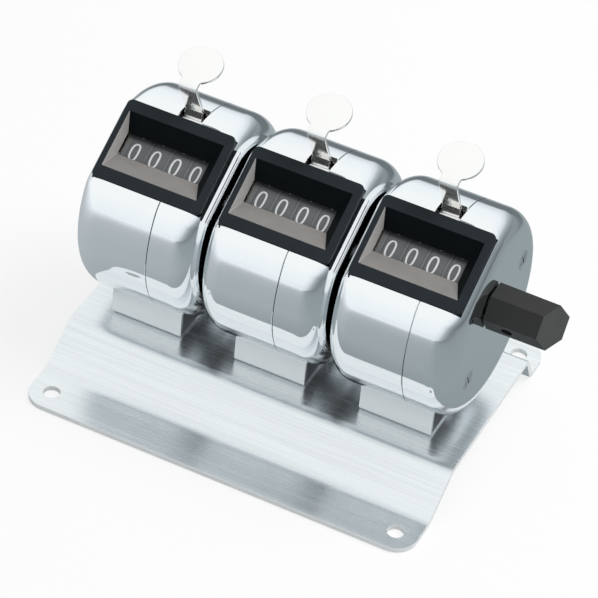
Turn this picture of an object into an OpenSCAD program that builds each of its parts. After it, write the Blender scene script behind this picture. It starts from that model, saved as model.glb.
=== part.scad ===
// Three tally counters on one bent steel base plate, zeroed by one common knob.
// Millimetres. The origin is the centre of the four screw holes, at table level.
// +X runs along the row of counters to the knob, +Y to the back, +Z up.

/* [Base plate] */
// Length of the base plate along the row of counters
plate_w = 92.2; // [84:0.2:110]
// Depth of the base plate from front edge to back edge
plate_d = 74.4; // [70:0.2:90]
// Thickness of the base sheet
plate_t = 1.2; // [0.8:0.1:2]
// Corner radius of the base sheet
plate_r = 5; // [2:0.5:7]
// Height of the raised middle above the table
raise_h = 8; // [7:0.5:14]
// Depth of the flat strip along the front edge
front_strip = 11.2; // [9:0.2:14]
// Run of the long front slope
front_slope = 10.4; // [7:0.2:13]
// Depth of the flat strip along the back edge
rear_strip = 9.7; // [8.5:0.1:12]
// Run of the steep back slope
rear_slope = 3.4; // [2.6:0.2:6]
// Inner radius of the bends in the base sheet
plate_bend_r = 1.5; // [0.6:0.1:2]
// Diameter of the four corner holes
mount_hole_d = 3.7; // [3:0.1:4.5]
// Distance of the corner holes from both edges
mount_inset = 5; // [4:0.1:6]
// Shift of the row of counters from the plate's middle, away from the knob
row_shift = 0.6; // [0:0.1:1.4]

/* [Case] */
// Gap between neighbouring cases
case_gap = 0.7; // [0.4:0.1:6]
// Width of one case
case_w = 29.3; // [28.6:0.1:32]
// Outer diameter of the drum-shaped case
case_d = 46.2; // [45.6:0.1:48]
// Wall thickness of the drawn case
case_wall = 0.9; // [0.6:0.1:1]
// Radius of the rounded rim of the case
case_edge_r = 5.5; // [4:0.1:6]
// Depth behind the holes' centre at which the case axis lies
case_y = 3.25; // [1:0.05:5]
// Gap between the case's lowest line and the base plate
case_lift = 3.7; // [3.3:0.1:7]
// Place of the joint between left and right shell, from the case's middle
seam_x = 3.9; // [3.4:0.1:6]
// Open joint line between the shells
seam_gap = 0.12; // [0.05:0.01:0.3]
// Overlap of the right shell's inner lip with the left shell
lip_len = 1.2; // [0.5:0.1:2]

/* [Window] */
// Slope of the window from level
window_tilt = 30; // [25:1:35]
// Depth of the window face below the drum's surface
window_drop = 2.04; // [1.7:0.02:2.3]
// Width of the strip of case on each side of the bezel
bezel_side = 1.85; // [1.45:0.05:2.15]
// Height of the bezel along the slope
bezel_l = 19.1; // [18:0.1:20]
// Shift of the bezel up the slope
bezel_shift = 0.8; // [0:0.1:1]
// Corner radius of the bezel
bezel_r = 0.8; // [0.3:0.1:2]
// Thickness of the bezel's flange
flange_t = 1.9; // [1:0.1:2.1]
// Width of the bezel's face on each side of the well
face_side = 1.55; // [1.3:0.05:2.3]
// Height of the sunk well at the face
well_l = 13.4; // [11:0.1:14]
// Depth of the sunk well
well_depth = 3.1; // [2:0.1:3.1]
// Run of the well's left and right walls together
well_run = 3.6; // [2.5:0.1:7]
// Height of the opening over the number wheels
view_l = 5.4; // [4:0.1:7]

/* [Number wheels] */
// Diameter of a number wheel
wheel_d = 18.8; // [17:0.1:18.9]
// Gap between the rims of neighbouring wheels
rim_gap = 0.68; // [0.66:0.02:1]
// Depth of the wheels' rims below the window face
wheel_sink = 3.46; // [3.42:0.02:3.7]
// Shift of the row of wheels from the case's middle
wheel_shift = 0.19; // [0:0.01:0.4]
// Thickness of a wheel's rim
rim_t = 1.3; // [0.8:0.1:1.8]
// Outer diameter of the ratchets
ratchet_d = 14; // [12:0.1:14]
// Depth of a ratchet tooth
tooth_h = 1.1; // [0.6:0.1:1.4]
// Thickness of a ratchet
ratchet_t = 0.5; // [0.3:0.05:0.55]

/* [Zeroing shaft and knob] */
// Diameter of the common zeroing shaft
shaft_d = 4; // [3:0.1:4.6]
// Length of the knob along its axis
knob_len = 13.2; // [10:0.1:18]
// Size of the knob over its flats at the case
knob_flats = 9.45; // [8:0.05:11]
// Size of the knob over its flats at the outer end
knob_flats_end = 8.9; // [7:0.05:11]
// Gap from the last case to the knob
knob_gap = 1; // [0.5:0.1:2]
// Turn of the knob's slanted end face to the front
knob_end_turn = 18.4; // [0:0.1:25]
// Tip of the knob's slanted end face to the top
knob_end_tip = 9; // [0:0.1:15]
// Diameter of the knob's set screw
set_screw_d = 2.5; // [2:0.1:3]

/* [Counting lever] */
// Thickness of the lever's sheet
lever_t = 0.8; // [0.5:0.1:0.9]
// Width of the lever's strip
lever_w = 4.2; // [3:0.1:4.4]
// Middle of the lever's strip, from the case's middle
lever_x = 0.85; // [0.5:0.05:0.95]
// Diameter of the thumb disc
disc_d = 10; // [8:0.1:11]
// Middle of the thumb disc, from the case's middle
disc_x = 2.6; // [1.5:0.1:3.5]
// Lean of the thumb disc to the back
disc_lean = 10; // [0:1:20]
// Diameter of the lever's hinge pin
lever_pin_d = 1.6; // [1.2:0.1:1.8]
// Diameter of the pawl's hinge pin
pawl_pin_d = 1.4; // [1:0.1:1.5]
// Thickness of the pawl's bar
pawl_t = 0.8; // [0.5:0.1:1]
// Thickness of the fingers that reach between the wheels
finger_t = 0.44; // [0.3:0.02:0.5]

/* [Springs] */
// Wire thickness of the lever's return spring
spring_wire = 0.4; // [0.3:0.05:0.5]
// Outer diameter of the lever's return spring
spring_d = 3.3; // [2.4:0.1:3.4]
// Turns of the lever's return spring
spring_turns = 6; // [4:1:8]
// Thickness of the leaf that holds the wheels in step
leaf_t = 0.35; // [0.2:0.05:0.5]

/* [Frame, foot and screws] */
// Thickness of the inner frame's plates
frame_t = 0.8; // [0.6:0.1:0.9]
// Gap between the rim of the inner frame's plates and the case
frame_gap = 2.2; // [2:0.1:2.7]
// Width of the foot bracket
foot_w = 16.9; // [14:0.1:18]
// Depth of the foot bracket over its walls
foot_d = 25.9; // [22:0.1:30]
// Thickness of the foot bracket's sheet
foot_t = 0.8; // [0.5:0.1:1.2]
// Distance of the foot screws from the case's middle
foot_screw_x = 6.5; // [6.2:0.1:6.8]
// Diameter of the foot screws
foot_screw_d = 3; // [2:0.1:3.2]
// Diameter of the case screws
case_screw_d = 2.6; // [2:0.1:2.8]
// Head diameter of the case screws
case_screw_head = 5.6; // [4.6:0.1:6]
// Distance of the case screws from the drum's surface
screw_inset = 8.8; // [8.1:0.1:9.1]

/* [Hidden] */
$fn = 96;

// Places of the three counters along X
pitch = case_w + case_gap;
middle_x = -row_shift;
left_x = middle_x - pitch;
right_x = middle_x + pitch;

// Clearances
fit_gap = 0.05;
loose_gap = 0.3;
thread_gap = 0.02;
wheel_gap = 0.35;
// Length of anything that only has to reach right through
cut = 60;

// Case and window
case_r = case_d / 2;
case_z = raise_h + case_lift + case_r;
case_inner_r = case_r - case_wall;
inner_x = case_w / 2 - case_wall;
screw_r = case_r - screw_inset;
window_n = case_r - window_drop;
bezel_w = case_w - 2 * bezel_side;
bezel_proud = 0.1;
case_flat = window_n - bezel_proud;
flat_spread = 0.1;
well_w = bezel_w - 2 * face_side;
view_w = well_w - well_run;
block_wall = 0.9;
block_n = window_n - 4.71;
well_shift = 0.9;
view_x = -0.73;
view_s = 1.33;
well_x = -0.18;
window_cut = 12;
slot_deep = 4;
lip_t = 0.45;

// Frame: plates near both ends of the case
plate_left = 2.75 - inner_x;
plate_right = inner_x - 2.55;
frame_r = case_inner_r - frame_gap;

// Wheels: the axis lies on the window's normal through the case axis
wheel_margin = 2.08;
wheel_pitch = (plate_right - plate_left - frame_t - wheel_margin) / 4;
wheel_w = wheel_pitch - rim_gap;
wheel_r = wheel_d / 2;
wheel_rise = window_n - wheel_sink - wheel_r;
axis_y = case_y - wheel_rise * sin(window_tilt);
axis_z = case_z + wheel_rise * cos(window_tilt);
ratchet_r = ratchet_d / 2;
shaft_r = shaft_d / 2;
hub_r = shaft_r + 1.4;
web_t = 1;

// Comb behind the window: turns up the slope from the window's middle
comb_gap = 0.12;
comb_bar = 1;
comb_from = -50;
comb_turn = 6;
comb_to = 40;

// Lever: hinge near the case top, outline of the strip in the Y-Z plane
case_top = case_z + case_r;
hinge = [case_y + 0.55, case_top - 2.6];
hinge_r = lever_pin_d / 2 + 0.5;
arm_fall = 19.1;
arm_dir = [cos(arm_fall), -sin(arm_fall)];
pawl_reach = 8.25;
pawl_hinge = hinge + pawl_reach * arm_dir;
eye_r = pawl_pin_d / 2 + 0.6;
strip_y = hinge[0] + hinge_r - lever_t / 2;
slot_y = [case_y - 1.6, case_y + 4.05];
slot_x = [-2.3, seam_x - 0.2];
crest = [case_y - 1.25, case_top + 7.8];
neck = [case_y - 0.15, case_top + 9.4];
disc_up = [sin(disc_lean), cos(disc_lean)];
disc_mid = neck + (disc_d / 2 - 0.5) * disc_up;
strip_path = [
  [strip_y, hinge[1]], [strip_y + 0.8, case_top + 0.5],
  crest, neck, disc_mid
];

// Pawl comb: fingers aim from the pawl hinge down to the ratchets
finger_tip = [axis_y, axis_z] + [ratchet_r - 0.22, 4.1];
pawl_dir = (finger_tip - pawl_hinge) / norm(finger_tip - pawl_hinge);
finger_len = norm(finger_tip - pawl_hinge);
finger_step = 0.3;
bar_from = 1.8;
bar_to = 3.6;
bar_reach = 0.45;
ear_gap = 0.15;
ear_t = 0.7;

// Frame: posts, shelf for the return spring and bar for the check spring
post_r = 2.3;
frame_floor = case_inner_r - 7.7;
shelf_z = hinge[1] - 12.5;
shelf_y = case_y + 7.95;
spring_x = plate_right - spring_d / 2 - 0.25;
leaf_bar = [case_y + 5.5, case_z - 6];
leaf_bar_size = 2.6;
leaf_root = 1.6;
screw_turn = [31.4, 213.4];

// Zeroing knob
knob_x = right_x + case_w / 2 + knob_gap;
shaft_end = knob_x + 0.68 * knob_len;
set_screw_x = 0.3 * knob_len;

// Rows of two: left and right foot screw
foot_head_h = 1.8;
foot_head_r = foot_screw_d / 2 + 1.2;
foot_boss_h = 3;

function unit(v) = v / norm(v);
function left_of(v) = [-v[1], v[0]];
function turned(v, a) = [v[0] * cos(a) - v[1] * sin(a), v[0] * sin(a) + v[1] * cos(a)];
function turn_angle(p, q) = atan2(p[0] * q[1] - p[1] * q[0], p[0] * q[0] + p[1] * q[1]);
function polar(r, a) = [r * cos(a), r * sin(a)];
function reversed(list) = [for (i = [len(list) - 1:-1:0]) list[i]];

// Points of one bend at b between a and c, at offset o to the left of the path
function bend(a, b, c, r, o, n) =
  let (
    d0 = unit(b - a),
    th = turn_angle(d0, unit(c - b)),
    sg = sign(th),
    mid = b - d0 * r * tan(abs(th) / 2) + left_of(d0) * r * sg
  )
  [for (i = [0:n]) mid + left_of(turned(d0, th * i / n)) * (o - r * sg)];

// One side of a bent sheet that follows the path p
function sheet_side(p, r, o, n) =
  let (last = len(p) - 1)
  concat(
    [p[0] + left_of(unit(p[1] - p[0])) * o],
    [for (i = [1:last - 1]) each bend(p[i - 1], p[i], p[i + 1], r, o, n)],
    [p[last] + left_of(unit(p[last] - p[last - 1])) * o]
  );

// Closed outline of a sheet of thickness t bent along the path p
function sheet(p, t, r, n = 6) =
  concat(sheet_side(p, r, t / 2, n), reversed(sheet_side(p, r, -t / 2, n)));

// Extrudes a Y-Z outline along X from x0 to x1
module along_x(x0, x1) {
  translate([x0, 0, 0]) rotate([90, 0, 90]) linear_extrude(x1 - x0) children();
}

// Cylinder along X from x0 to x1 about the Y-Z point p
module rod_x(x0, x1, p, r) {
  translate([x0, p[0], p[1]]) rotate([0, 90, 0]) cylinder(h = x1 - x0, r = r);
}

// Places its children in the window's frame: X, up the slope, out of the window
module in_window() {
  translate([0, case_y, case_z]) rotate([window_tilt, 0, 0]) children();
}

// Flat rectangle with round corners
module rounded_rect(w, l, r) {
  square([w - 2 * r, l], center = true);
  square([w, l - 2 * r], center = true);
  for (i = [-1, 1]) for (j = [-1, 1])
    translate([i * (w / 2 - r), j * (l / 2 - r)]) circle(r);
}

module base_plate() {
  front = -plate_d / 2;
  back = plate_d / 2;
  low = plate_t / 2;
  high = raise_h - plate_t / 2;
  path = [
    [front, low], [front + front_strip, low],
    [front + front_strip + front_slope, high],
    [back - rear_strip - rear_slope, high],
    [back - rear_strip, low], [back, low]
  ];
  color("gainsboro") difference() {
    intersection() {
      along_x(-plate_w / 2, plate_w / 2)
        polygon(sheet(path, plate_t, plate_bend_r + plate_t / 2, 8));
      translate([0, 0, -1]) linear_extrude(raise_h + 2) rounded_rect(plate_w, plate_d, plate_r);
    }
    for (i = [-1, 1]) for (j = [-1, 1])
      translate([i * (plate_w / 2 - mount_inset), j * (plate_d / 2 - mount_inset), -1])
        cylinder(h = plate_t + 2, d = mount_hole_d);
    for (cx = [left_x, middle_x, right_x])
      foot_holes(cx, raise_h - plate_t - 1, plate_t + 2, foot_screw_d / 2 + loose_gap / 2);
  }
}

// Two upright holes or pegs at the foot screws of the counter at cx
module foot_holes(cx, z, h, r) {
  for (side = [-1, 1]) translate([cx + side * foot_screw_x, case_y, z]) cylinder(h = h, r = r);
}

module foot_bracket(cx) {
  y0 = case_y - foot_d / 2 + foot_t / 2;
  y1 = case_y + foot_d / 2 - foot_t / 2;
  low = raise_h + foot_t / 2;
  top = case_z - case_r / 2;
  color("silver") difference() {
    along_x(cx - foot_w / 2, cx + foot_w / 2)
      polygon(sheet([[y0, top], [y0, low], [y1, low], [y1, top]], foot_t, foot_t * 1.1));
    rod_x(cx - cut, cx + cut, [case_y, case_z], case_r + fit_gap);
    foot_holes(cx, raise_h - 1, foot_t + 2, foot_screw_d / 2 + loose_gap / 2);
  }
}

module foot_screws() {
  under = raise_h - plate_t;
  top = case_z - case_inner_r + foot_boss_h - 0.4;
  color("silver") for (cx = [left_x, middle_x, right_x]) {
    foot_holes(cx, under, top - under, foot_screw_d / 2);
    difference() {
      foot_holes(cx, under - foot_head_h, foot_head_h, foot_head_r);
      for (side = [-1, 1])
        translate([cx + side * foot_screw_x, case_y, under - foot_head_h])
          cube([foot_head_r * 3, 0.7, foot_head_h], center = true);
    }
  }
}

// Square-cornered rectangle w wide and r high, with its two top corners rounded by e
module rounded_top(w, r, e, low) {
  translate([-w / 2, low]) square([w, r - e - low]);
  translate([e - w / 2, low]) square([w - 2 * e, r - low]);
  for (i = [-1, 1]) intersection() {
    translate([i * (w / 2 - e), r - e]) circle(e);
    translate([-w, low]) square([2 * w, r - low + 1]);
  }
}

// The drum shape with its flat window side, shrunk by s all round
module case_form(s) {
  w = case_w - 2 * s;
  e = case_edge_r - s;
  intersection() {
    translate([0, case_y, case_z]) rotate([0, 90, 0]) rotate_extrude()
      rotate(-90) rounded_top(w, case_r - s, e, 0);
    in_window() rotate([90, 0, 0]) translate([0, 0, -cut / 2]) linear_extrude(cut)
      rounded_top(w + 2 * flat_spread, case_flat - s, e, -cut / 2);
  }
}

// Slice of its children between x0 and x1
module slice_x(x0, x1) {
  intersection() {
    children();
    translate([x0, case_y - cut / 2, case_z - cut / 2]) cube([x1 - x0, cut, cut]);
  }
}

// What both shells have cut out: the window, the lever slot and the shaft hole
module case_openings() {
  in_window() translate([0, bezel_shift, block_n - wheel_gap]) linear_extrude(window_cut)
    rounded_rect(bezel_w + 2 * fit_gap, bezel_l + 2 * fit_gap, bezel_r + fit_gap);
  translate([slot_x[0], slot_y[0], case_top - slot_deep])
    cube([slot_x[1] - slot_x[0], slot_y[1] - slot_y[0], slot_deep * 2]);
  rod_x(-cut, cut, [axis_y, axis_z], shaft_r + loose_gap);
}

// Middle of case screw number i in the Y-Z plane
function screw_at(i) = [case_y, case_z] + polar(screw_r, screw_turn[i]);

module case_left_shell(cx) {
  color("lightsteelblue") translate([cx, 0, 0]) difference() {
    union() {
      slice_x(-case_w, seam_x) difference() {
        case_form(0);
        case_form(case_wall);
      }
      for (i = [0, 1]) rod_x(-inner_x - case_wall / 2, plate_left, screw_at(i), post_r);
      foot_boss(-foot_screw_x);
    }
    case_openings();
    for (i = [0, 1]) rod_x(-inner_x, 0, screw_at(i), case_screw_d / 2 + thread_gap);
    foot_boss_hole(-foot_screw_x);
  }
}

module case_right_shell(cx) {
  color("lightsteelblue") translate([cx, 0, 0]) difference() {
    union() {
      slice_x(seam_x + seam_gap, case_w) difference() {
        case_form(0);
        case_form(case_wall);
      }
      slice_x(seam_x - lip_len, seam_x + 1) difference() {
        case_form(case_wall + fit_gap);
        case_form(case_wall + fit_gap + lip_t);
        rod_x(0, inner_x, hinge, hinge_r + loose_gap);
      }
      slice_x(seam_x + seam_gap, seam_x + 1) difference() {
        case_form(case_wall / 2);
        case_form(case_wall + fit_gap + lip_t);
        rod_x(0, inner_x, hinge, hinge_r + loose_gap);
      }
      foot_boss(foot_screw_x);
    }
    case_openings();
    for (i = [0, 1]) {
      rod_x(inner_x - 1, case_w, screw_at(i), case_screw_d / 2 + loose_gap / 2);
      screw_cone(i, fit_gap);
    }
    foot_boss_hole(foot_screw_x);
  }
}

// Sunk head of case screw i, or its seat when grown by g
module screw_cone(i, g) {
  r0 = case_screw_d / 2 + g;
  r1 = case_screw_head / 2 + g;
  translate([case_w / 2 - (r1 - r0), screw_at(i)[0], screw_at(i)[1]]) rotate([0, 90, 0])
    cylinder(h = r1 - r0, r1 = r0, r2 = r1);
}

// Threaded boss inside the bottom of the case
module foot_boss(x) {
  intersection() {
    translate([x, case_y, case_z - case_r]) cylinder(h = foot_boss_h + case_wall, r = foot_screw_d / 2 + 1);
    case_form(case_wall / 2);
  }
}

module foot_boss_hole(x) {
  translate([x, case_y, case_z - case_r - 1])
    cylinder(h = foot_boss_h + case_wall + 2, r = foot_screw_d / 2 + thread_gap);
}

module case_screws() {
  color("silver") for (cx = [left_x, middle_x, right_x]) translate([cx, 0, 0])
    for (i = [0, 1]) difference() {
      union() {
        rod_x(-inner_x + 0.2, case_w / 2 - 1, screw_at(i), case_screw_d / 2);
        screw_cone(i, 0);
      }
      translate([case_w / 2, screw_at(i)[0], screw_at(i)[1]]) {
        cube([1.2, 0.6, case_screw_head - 1.4], center = true);
        cube([1.2, case_screw_head - 1.4, 0.6], center = true);
      }
    }
}

// Four-sided funnel: a trapezium across X cut with a trapezium up the slope
module well_form() {
  top = window_n;
  low = window_n - well_depth;
  intersection() {
    rotate([90, 0, 0]) translate([0, 0, -cut / 2]) linear_extrude(cut)
      funnel(well_x, well_w, view_x, view_w, low, top);
    rotate([90, 0, 90]) translate([0, 0, -cut / 2]) linear_extrude(cut)
      funnel(well_shift, well_l, view_s, view_l, low, top);
  }
}

// Outline that is w1 wide at height top and w0 wide from height low down
module funnel(m1, w1, m0, w0, low, top) {
  polygon([
    [m0 - w0 / 2, low - 3], [m0 + w0 / 2, low - 3], [m0 + w0 / 2, low],
    [m1 + w1 / 2, top], [m1 + w1 / 2, top + 2], [m1 - w1 / 2, top + 2],
    [m1 - w1 / 2, top], [m0 - w0 / 2, low]
  ]);
}

module window_bezel(cx) {
  block_w = well_w + 2 * block_wall;
  block_l = well_l + 2 * block_wall;
  color("dimgray") translate([cx, 0, 0]) in_window() difference() {
    union() {
      translate([0, bezel_shift, window_n - flange_t]) linear_extrude(flange_t)
        rounded_rect(bezel_w, bezel_l, bezel_r);
      translate([well_x - block_w / 2, well_shift - block_l / 2, block_n])
        cube([block_w, block_l, window_n - flange_t / 2 - block_n]);
    }
    well_form();
    translate([-cut, 0, wheel_rise]) rotate([0, 90, 0]) cylinder(h = 2 * cut, r = wheel_r + wheel_gap);
  }
}

// Sector of a ring about the wheels' axis, from turn a0 to a1 up the slope from the window's middle
module ring_sector(r0, r1, a0, a1) {
  far = 2 * r1;
  translate([axis_y, axis_z]) rotate(90 + window_tilt) intersection() {
    difference() {
      circle(r1);
      circle(r0);
    }
    polygon([[0, 0], polar(far, -a0), polar(far, -(a0 + a1) / 2), polar(far, -a1)]);
  }
}

// Comb that fills the gaps between the wheels behind the opening; its bar joins the frame plates
module window_comb(cx) {
  inner_r = ratchet_r + wheel_gap + fit_gap;
  bar_r = wheel_r + wheel_gap;
  plate_face = plate_left + frame_t;
  color("gray") translate([cx, 0, 0]) {
    along_x(plate_face, plate_right)
      ring_sector(bar_r, bar_r + comb_bar, comb_from, comb_from + comb_turn);
    for (k = [0:3]) {
      x0 = k == 0 ? plate_face : gap_x(k) - rim_gap / 2 + comb_gap;
      along_x(x0, gap_x(k) + rim_gap / 2 - comb_gap) {
        ring_sector(inner_r, wheel_r - fit_gap, comb_from, comb_to);
        ring_sector(inner_r, bar_r + comb_bar, comb_from, comb_from + comb_turn);
      }
    }
  }
}

// Outline of one frame plate: a disc cut flat under the bezel and at the bottom
module frame_outline() {
  intersection() {
    translate([case_y, case_z]) circle(frame_r);
    translate([case_y, case_z]) rotate(window_tilt) translate([-cut, -cut]) square([2 * cut, cut + block_n]);
    translate([case_y - cut, case_z - frame_floor]) square([2 * cut, 2 * cut]);
  }
}

module mechanism_frame(cx) {
  r = leaf_bar_size;
  color("tan") translate([cx, 0, 0]) difference() {
    union() {
      along_x(plate_left, plate_left + frame_t) frame_outline();
      along_x(plate_right, plate_right + frame_t) frame_outline();
      for (i = [0, 1]) rod_x(plate_left, inner_x, screw_at(i), post_r);
      along_x(plate_left, plate_right + frame_t)
        translate([leaf_bar[0], leaf_bar[1] - r]) square(r);
      translate([spring_x - spring_d / 2, shelf_y - spring_d / 2, shelf_z - frame_t])
        cube([plate_right - spring_x + spring_d / 2 + frame_t / 2, spring_d, frame_t]);
    }
    for (i = [0, 1]) {
      rod_x(-cut, cut, screw_at(i), case_screw_d / 2 + loose_gap / 2);
      screw_cone(i, fit_gap);
    }
    rod_x(-cut, cut, [axis_y, axis_z], shaft_r + fit_gap);
    rod_x(-cut, cut, hinge, lever_pin_d / 2 + thread_gap);
  }
}

// Middle of wheel k along X: 0 is the thousands wheel, 3 the units wheel
function wheel_x(k) = wheel_shift + (k - 1.5) * wheel_pitch;
// Middle of the gap to the left of wheel k, where its ratchet sits
function gap_x(k) = wheel_x(k) - wheel_pitch / 2;

// Ten saw teeth; the last one is cut deeper, so that the next pawl finger drops in
module ratchet_outline() {
  polygon([
    for (i = [0:9]) each [
      polar(ratchet_r, 36 * i),
      polar(ratchet_r - tooth_h * (i == 9 ? 2 : 1), 36 * i + 3),
      polar(ratchet_r - tooth_h * (i == 9 ? 2 : 1), 36 * i + 9)
    ]
  ]);
}

module number_wheel(cx, k) {
  color("gray") translate([cx + wheel_x(k), axis_y, axis_z]) rotate([0, 90, 0]) difference() {
    union() {
      difference() {
        translate([0, 0, -wheel_w / 2]) cylinder(h = wheel_w, r = wheel_r);
        for (side = [-1, 1]) translate([0, 0, side * (wheel_w / 2 + web_t / 2)])
          difference() {
            cylinder(h = wheel_w, r = wheel_r - rim_t, center = true);
            cylinder(h = wheel_w + 1, r = hub_r, center = true);
          }
      }
      translate([0, 0, -wheel_w / 2 - ratchet_t]) linear_extrude(wheel_w / 2 + ratchet_t)
        rotate(90) ratchet_outline();
    }
    translate([0, 0, -cut]) cylinder(h = 2 * cut, r = shaft_r + fit_gap);
  }
}

module check_spring(cx) {
  r = leaf_bar_size;
  foot = [leaf_bar[0], leaf_bar[1] + leaf_t / 2];
  tip = [axis_y, axis_z] + polar(ratchet_r + wheel_gap, -52);
  color("lightgray") translate([cx, 0, 0]) {
    along_x(plate_left + frame_t + fit_gap, plate_right - fit_gap)
      polygon(sheet([foot + [r, 0], foot, foot + leaf_root * unit(tip - foot)], leaf_t, leaf_t));
    for (k = [0:3]) along_x(gap_x(k) - finger_t / 2, gap_x(k) + finger_t / 2)
      polygon(sheet([foot + [r, 0], foot, tip], leaf_t, leaf_t));
  }
}

module lever(cx) {
  color("silver") translate([cx, 0, 0]) difference() {
    union() {
      along_x(lever_x - lever_w / 2, lever_x + lever_w / 2) {
        polygon(sheet(strip_path, lever_t, 1));
        lever_arm(pawl_reach);
        translate(pawl_hinge) circle(eye_r);
      }
      along_x(spring_x - spring_d / 2, spring_x + spring_d / 2) lever_arm(pawl_reach + 1.4);
      rod_x(lever_x - lever_w / 2, spring_x + spring_d / 2, hinge, hinge_r);
      translate([disc_x, disc_mid[0], disc_mid[1]]) rotate([90 - disc_lean, 0, 0])
        cylinder(h = lever_t, d = disc_d, center = true);
    }
    rod_x(-cut, cut, hinge, lever_pin_d / 2 + fit_gap);
    rod_x(lever_x - lever_w, lever_x + lever_w, pawl_hinge, pawl_pin_d / 2 + thread_gap);
  }
}

// Flat arm of the lever from its hinge to the back, len long
module lever_arm(len) {
  polygon(sheet([hinge, hinge + len / 2 * arm_dir, hinge + len * arm_dir], lever_t, 1, 1));
}

module lever_pins() {
  color("silver") for (cx = [left_x, middle_x, right_x])
    rod_x(cx + plate_left, cx + plate_right + frame_t, hinge, lever_pin_d / 2);
}

module pawl_pin(cx) {
  x0 = lever_x - lever_w / 2 - ear_gap - ear_t;
  x1 = lever_x + lever_w / 2 + ear_gap + ear_t;
  color("silver") rod_x(cx + x0, cx + x1, pawl_hinge, pawl_pin_d / 2);
}

module pawl_comb(cx) {
  x0 = lever_x - lever_w / 2 - ear_gap;
  x1 = lever_x + lever_w / 2 + ear_gap;
  color("darkkhaki") translate([cx, 0, 0]) difference() {
    union() {
      along_x(gap_x(0) - bar_reach, gap_x(3) + bar_reach) pawl_strip(bar_from, bar_to, pawl_t, pawl_t);
      for (x = [x0 - ear_t, x1]) along_x(x, x + ear_t) {
        translate(pawl_hinge) circle(eye_r);
        pawl_strip(0, bar_to, 1.6, pawl_t);
      }
      for (k = [0:3]) along_x(gap_x(k) - finger_t / 2, gap_x(k) + finger_t / 2)
        pawl_strip(bar_from, finger_len - (3 - k) * finger_step, pawl_t, pawl_t / 2);
    }
    rod_x(-cut, cut, pawl_hinge, pawl_pin_d / 2 + fit_gap);
  }
}

// Tapered strip along the pawl, from length l0 and width w0 to length l1 and width w1
module pawl_strip(l0, l1, w0, w1) {
  side = left_of(pawl_dir);
  polygon([
    pawl_hinge + l0 * pawl_dir + side * w0 / 2, pawl_hinge + l0 * pawl_dir - side * w0 / 2,
    pawl_hinge + l1 * pawl_dir - side * w1 / 2, pawl_hinge + l1 * pawl_dir + side * w1 / 2
  ]);
}

// Coil spring standing on the shelf under the lever's side arm
module return_spring(cx) {
  r = spring_wire / 2;
  coil_r = spring_d / 2 - r;
  top = hinge[1] - (shelf_y + coil_r - hinge[0]) * tan(arm_fall) - lever_t / 2 / cos(arm_fall);
  rise = top - shelf_z - 2 * r - 0.1;
  per_turn = 16;
  sides = 6;
  rings = spring_turns * per_turn;
  points = [
    for (i = [0:rings]) let (a = 360 * i / per_turn) for (j = [0:sides - 1])
      let (b = 360 * j / sides, q = coil_r + r * cos(b))
      [q * cos(a), q * sin(a), r + rise * i / rings + r * sin(b)]
  ];
  walls = [
    for (i = [0:rings - 1]) for (j = [0:sides - 1])
      let (n = (j + 1) % sides)
      [i * sides + j, (i + 1) * sides + j, (i + 1) * sides + n, i * sides + n]
  ];
  ends = [[for (j = [0:sides - 1]) j], [for (j = [sides - 1:-1:0]) rings * sides + j]];
  color("darkgray") translate([cx + spring_x, shelf_y, shelf_z + 0.02])
    polyhedron(points, concat(walls, ends));
}

module reset_shaft() {
  color("silver") rod_x(left_x - case_w / 2, shaft_end, [axis_y, axis_z], shaft_r);
}

// Slab between two opposite flats of the knob
module knob_slab(turn) {
  len = knob_len * 1.5;
  grow = (knob_flats_end - knob_flats) / knob_len * len;
  rotate([turn, 0, 0]) rotate([90, 0, 0]) translate([0, 0, -cut / 2]) linear_extrude(cut)
    polygon([
      [0, -knob_flats / 2], [len, -(knob_flats + grow) / 2],
      [len, (knob_flats + grow) / 2], [0, knob_flats / 2]
    ]);
}

module reset_knob() {
  color("dimgray") translate([knob_x, axis_y, axis_z]) difference() {
    intersection() {
      knob_slab(0);
      knob_slab(60);
      knob_slab(120);
    }
    translate([knob_len, 0, 0]) rotate([0, -knob_end_tip, -knob_end_turn])
      translate([0, -cut / 2, -cut / 2]) cube(cut);
    translate([-1, 0, 0]) rotate([0, 90, 0])
      cylinder(h = shaft_end - knob_x + 1.2, r = shaft_r + thread_gap);
    set_screw_rod(cut, set_screw_d / 2 + thread_gap);
  }
}

// Rod from the shaft outwards through the knob's lower back flat
module set_screw_rod(len, r) {
  translate([set_screw_x, 0, 0]) rotate([-120, 0, 0])
    translate([0, 0, shaft_r + thread_gap]) cylinder(h = len, r = r);
}

module knob_set_screw() {
  len = knob_flats / 2 - shaft_r - 0.5;
  color("dimgray") translate([knob_x, axis_y, axis_z]) difference() {
    set_screw_rod(len, set_screw_d / 2);
    translate([set_screw_x, 0, 0]) rotate([-120, 0, 0]) translate([0, 0, shaft_r + len])
      cube([set_screw_d * 2, 0.5, 1.2], center = true);
  }
}

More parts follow.
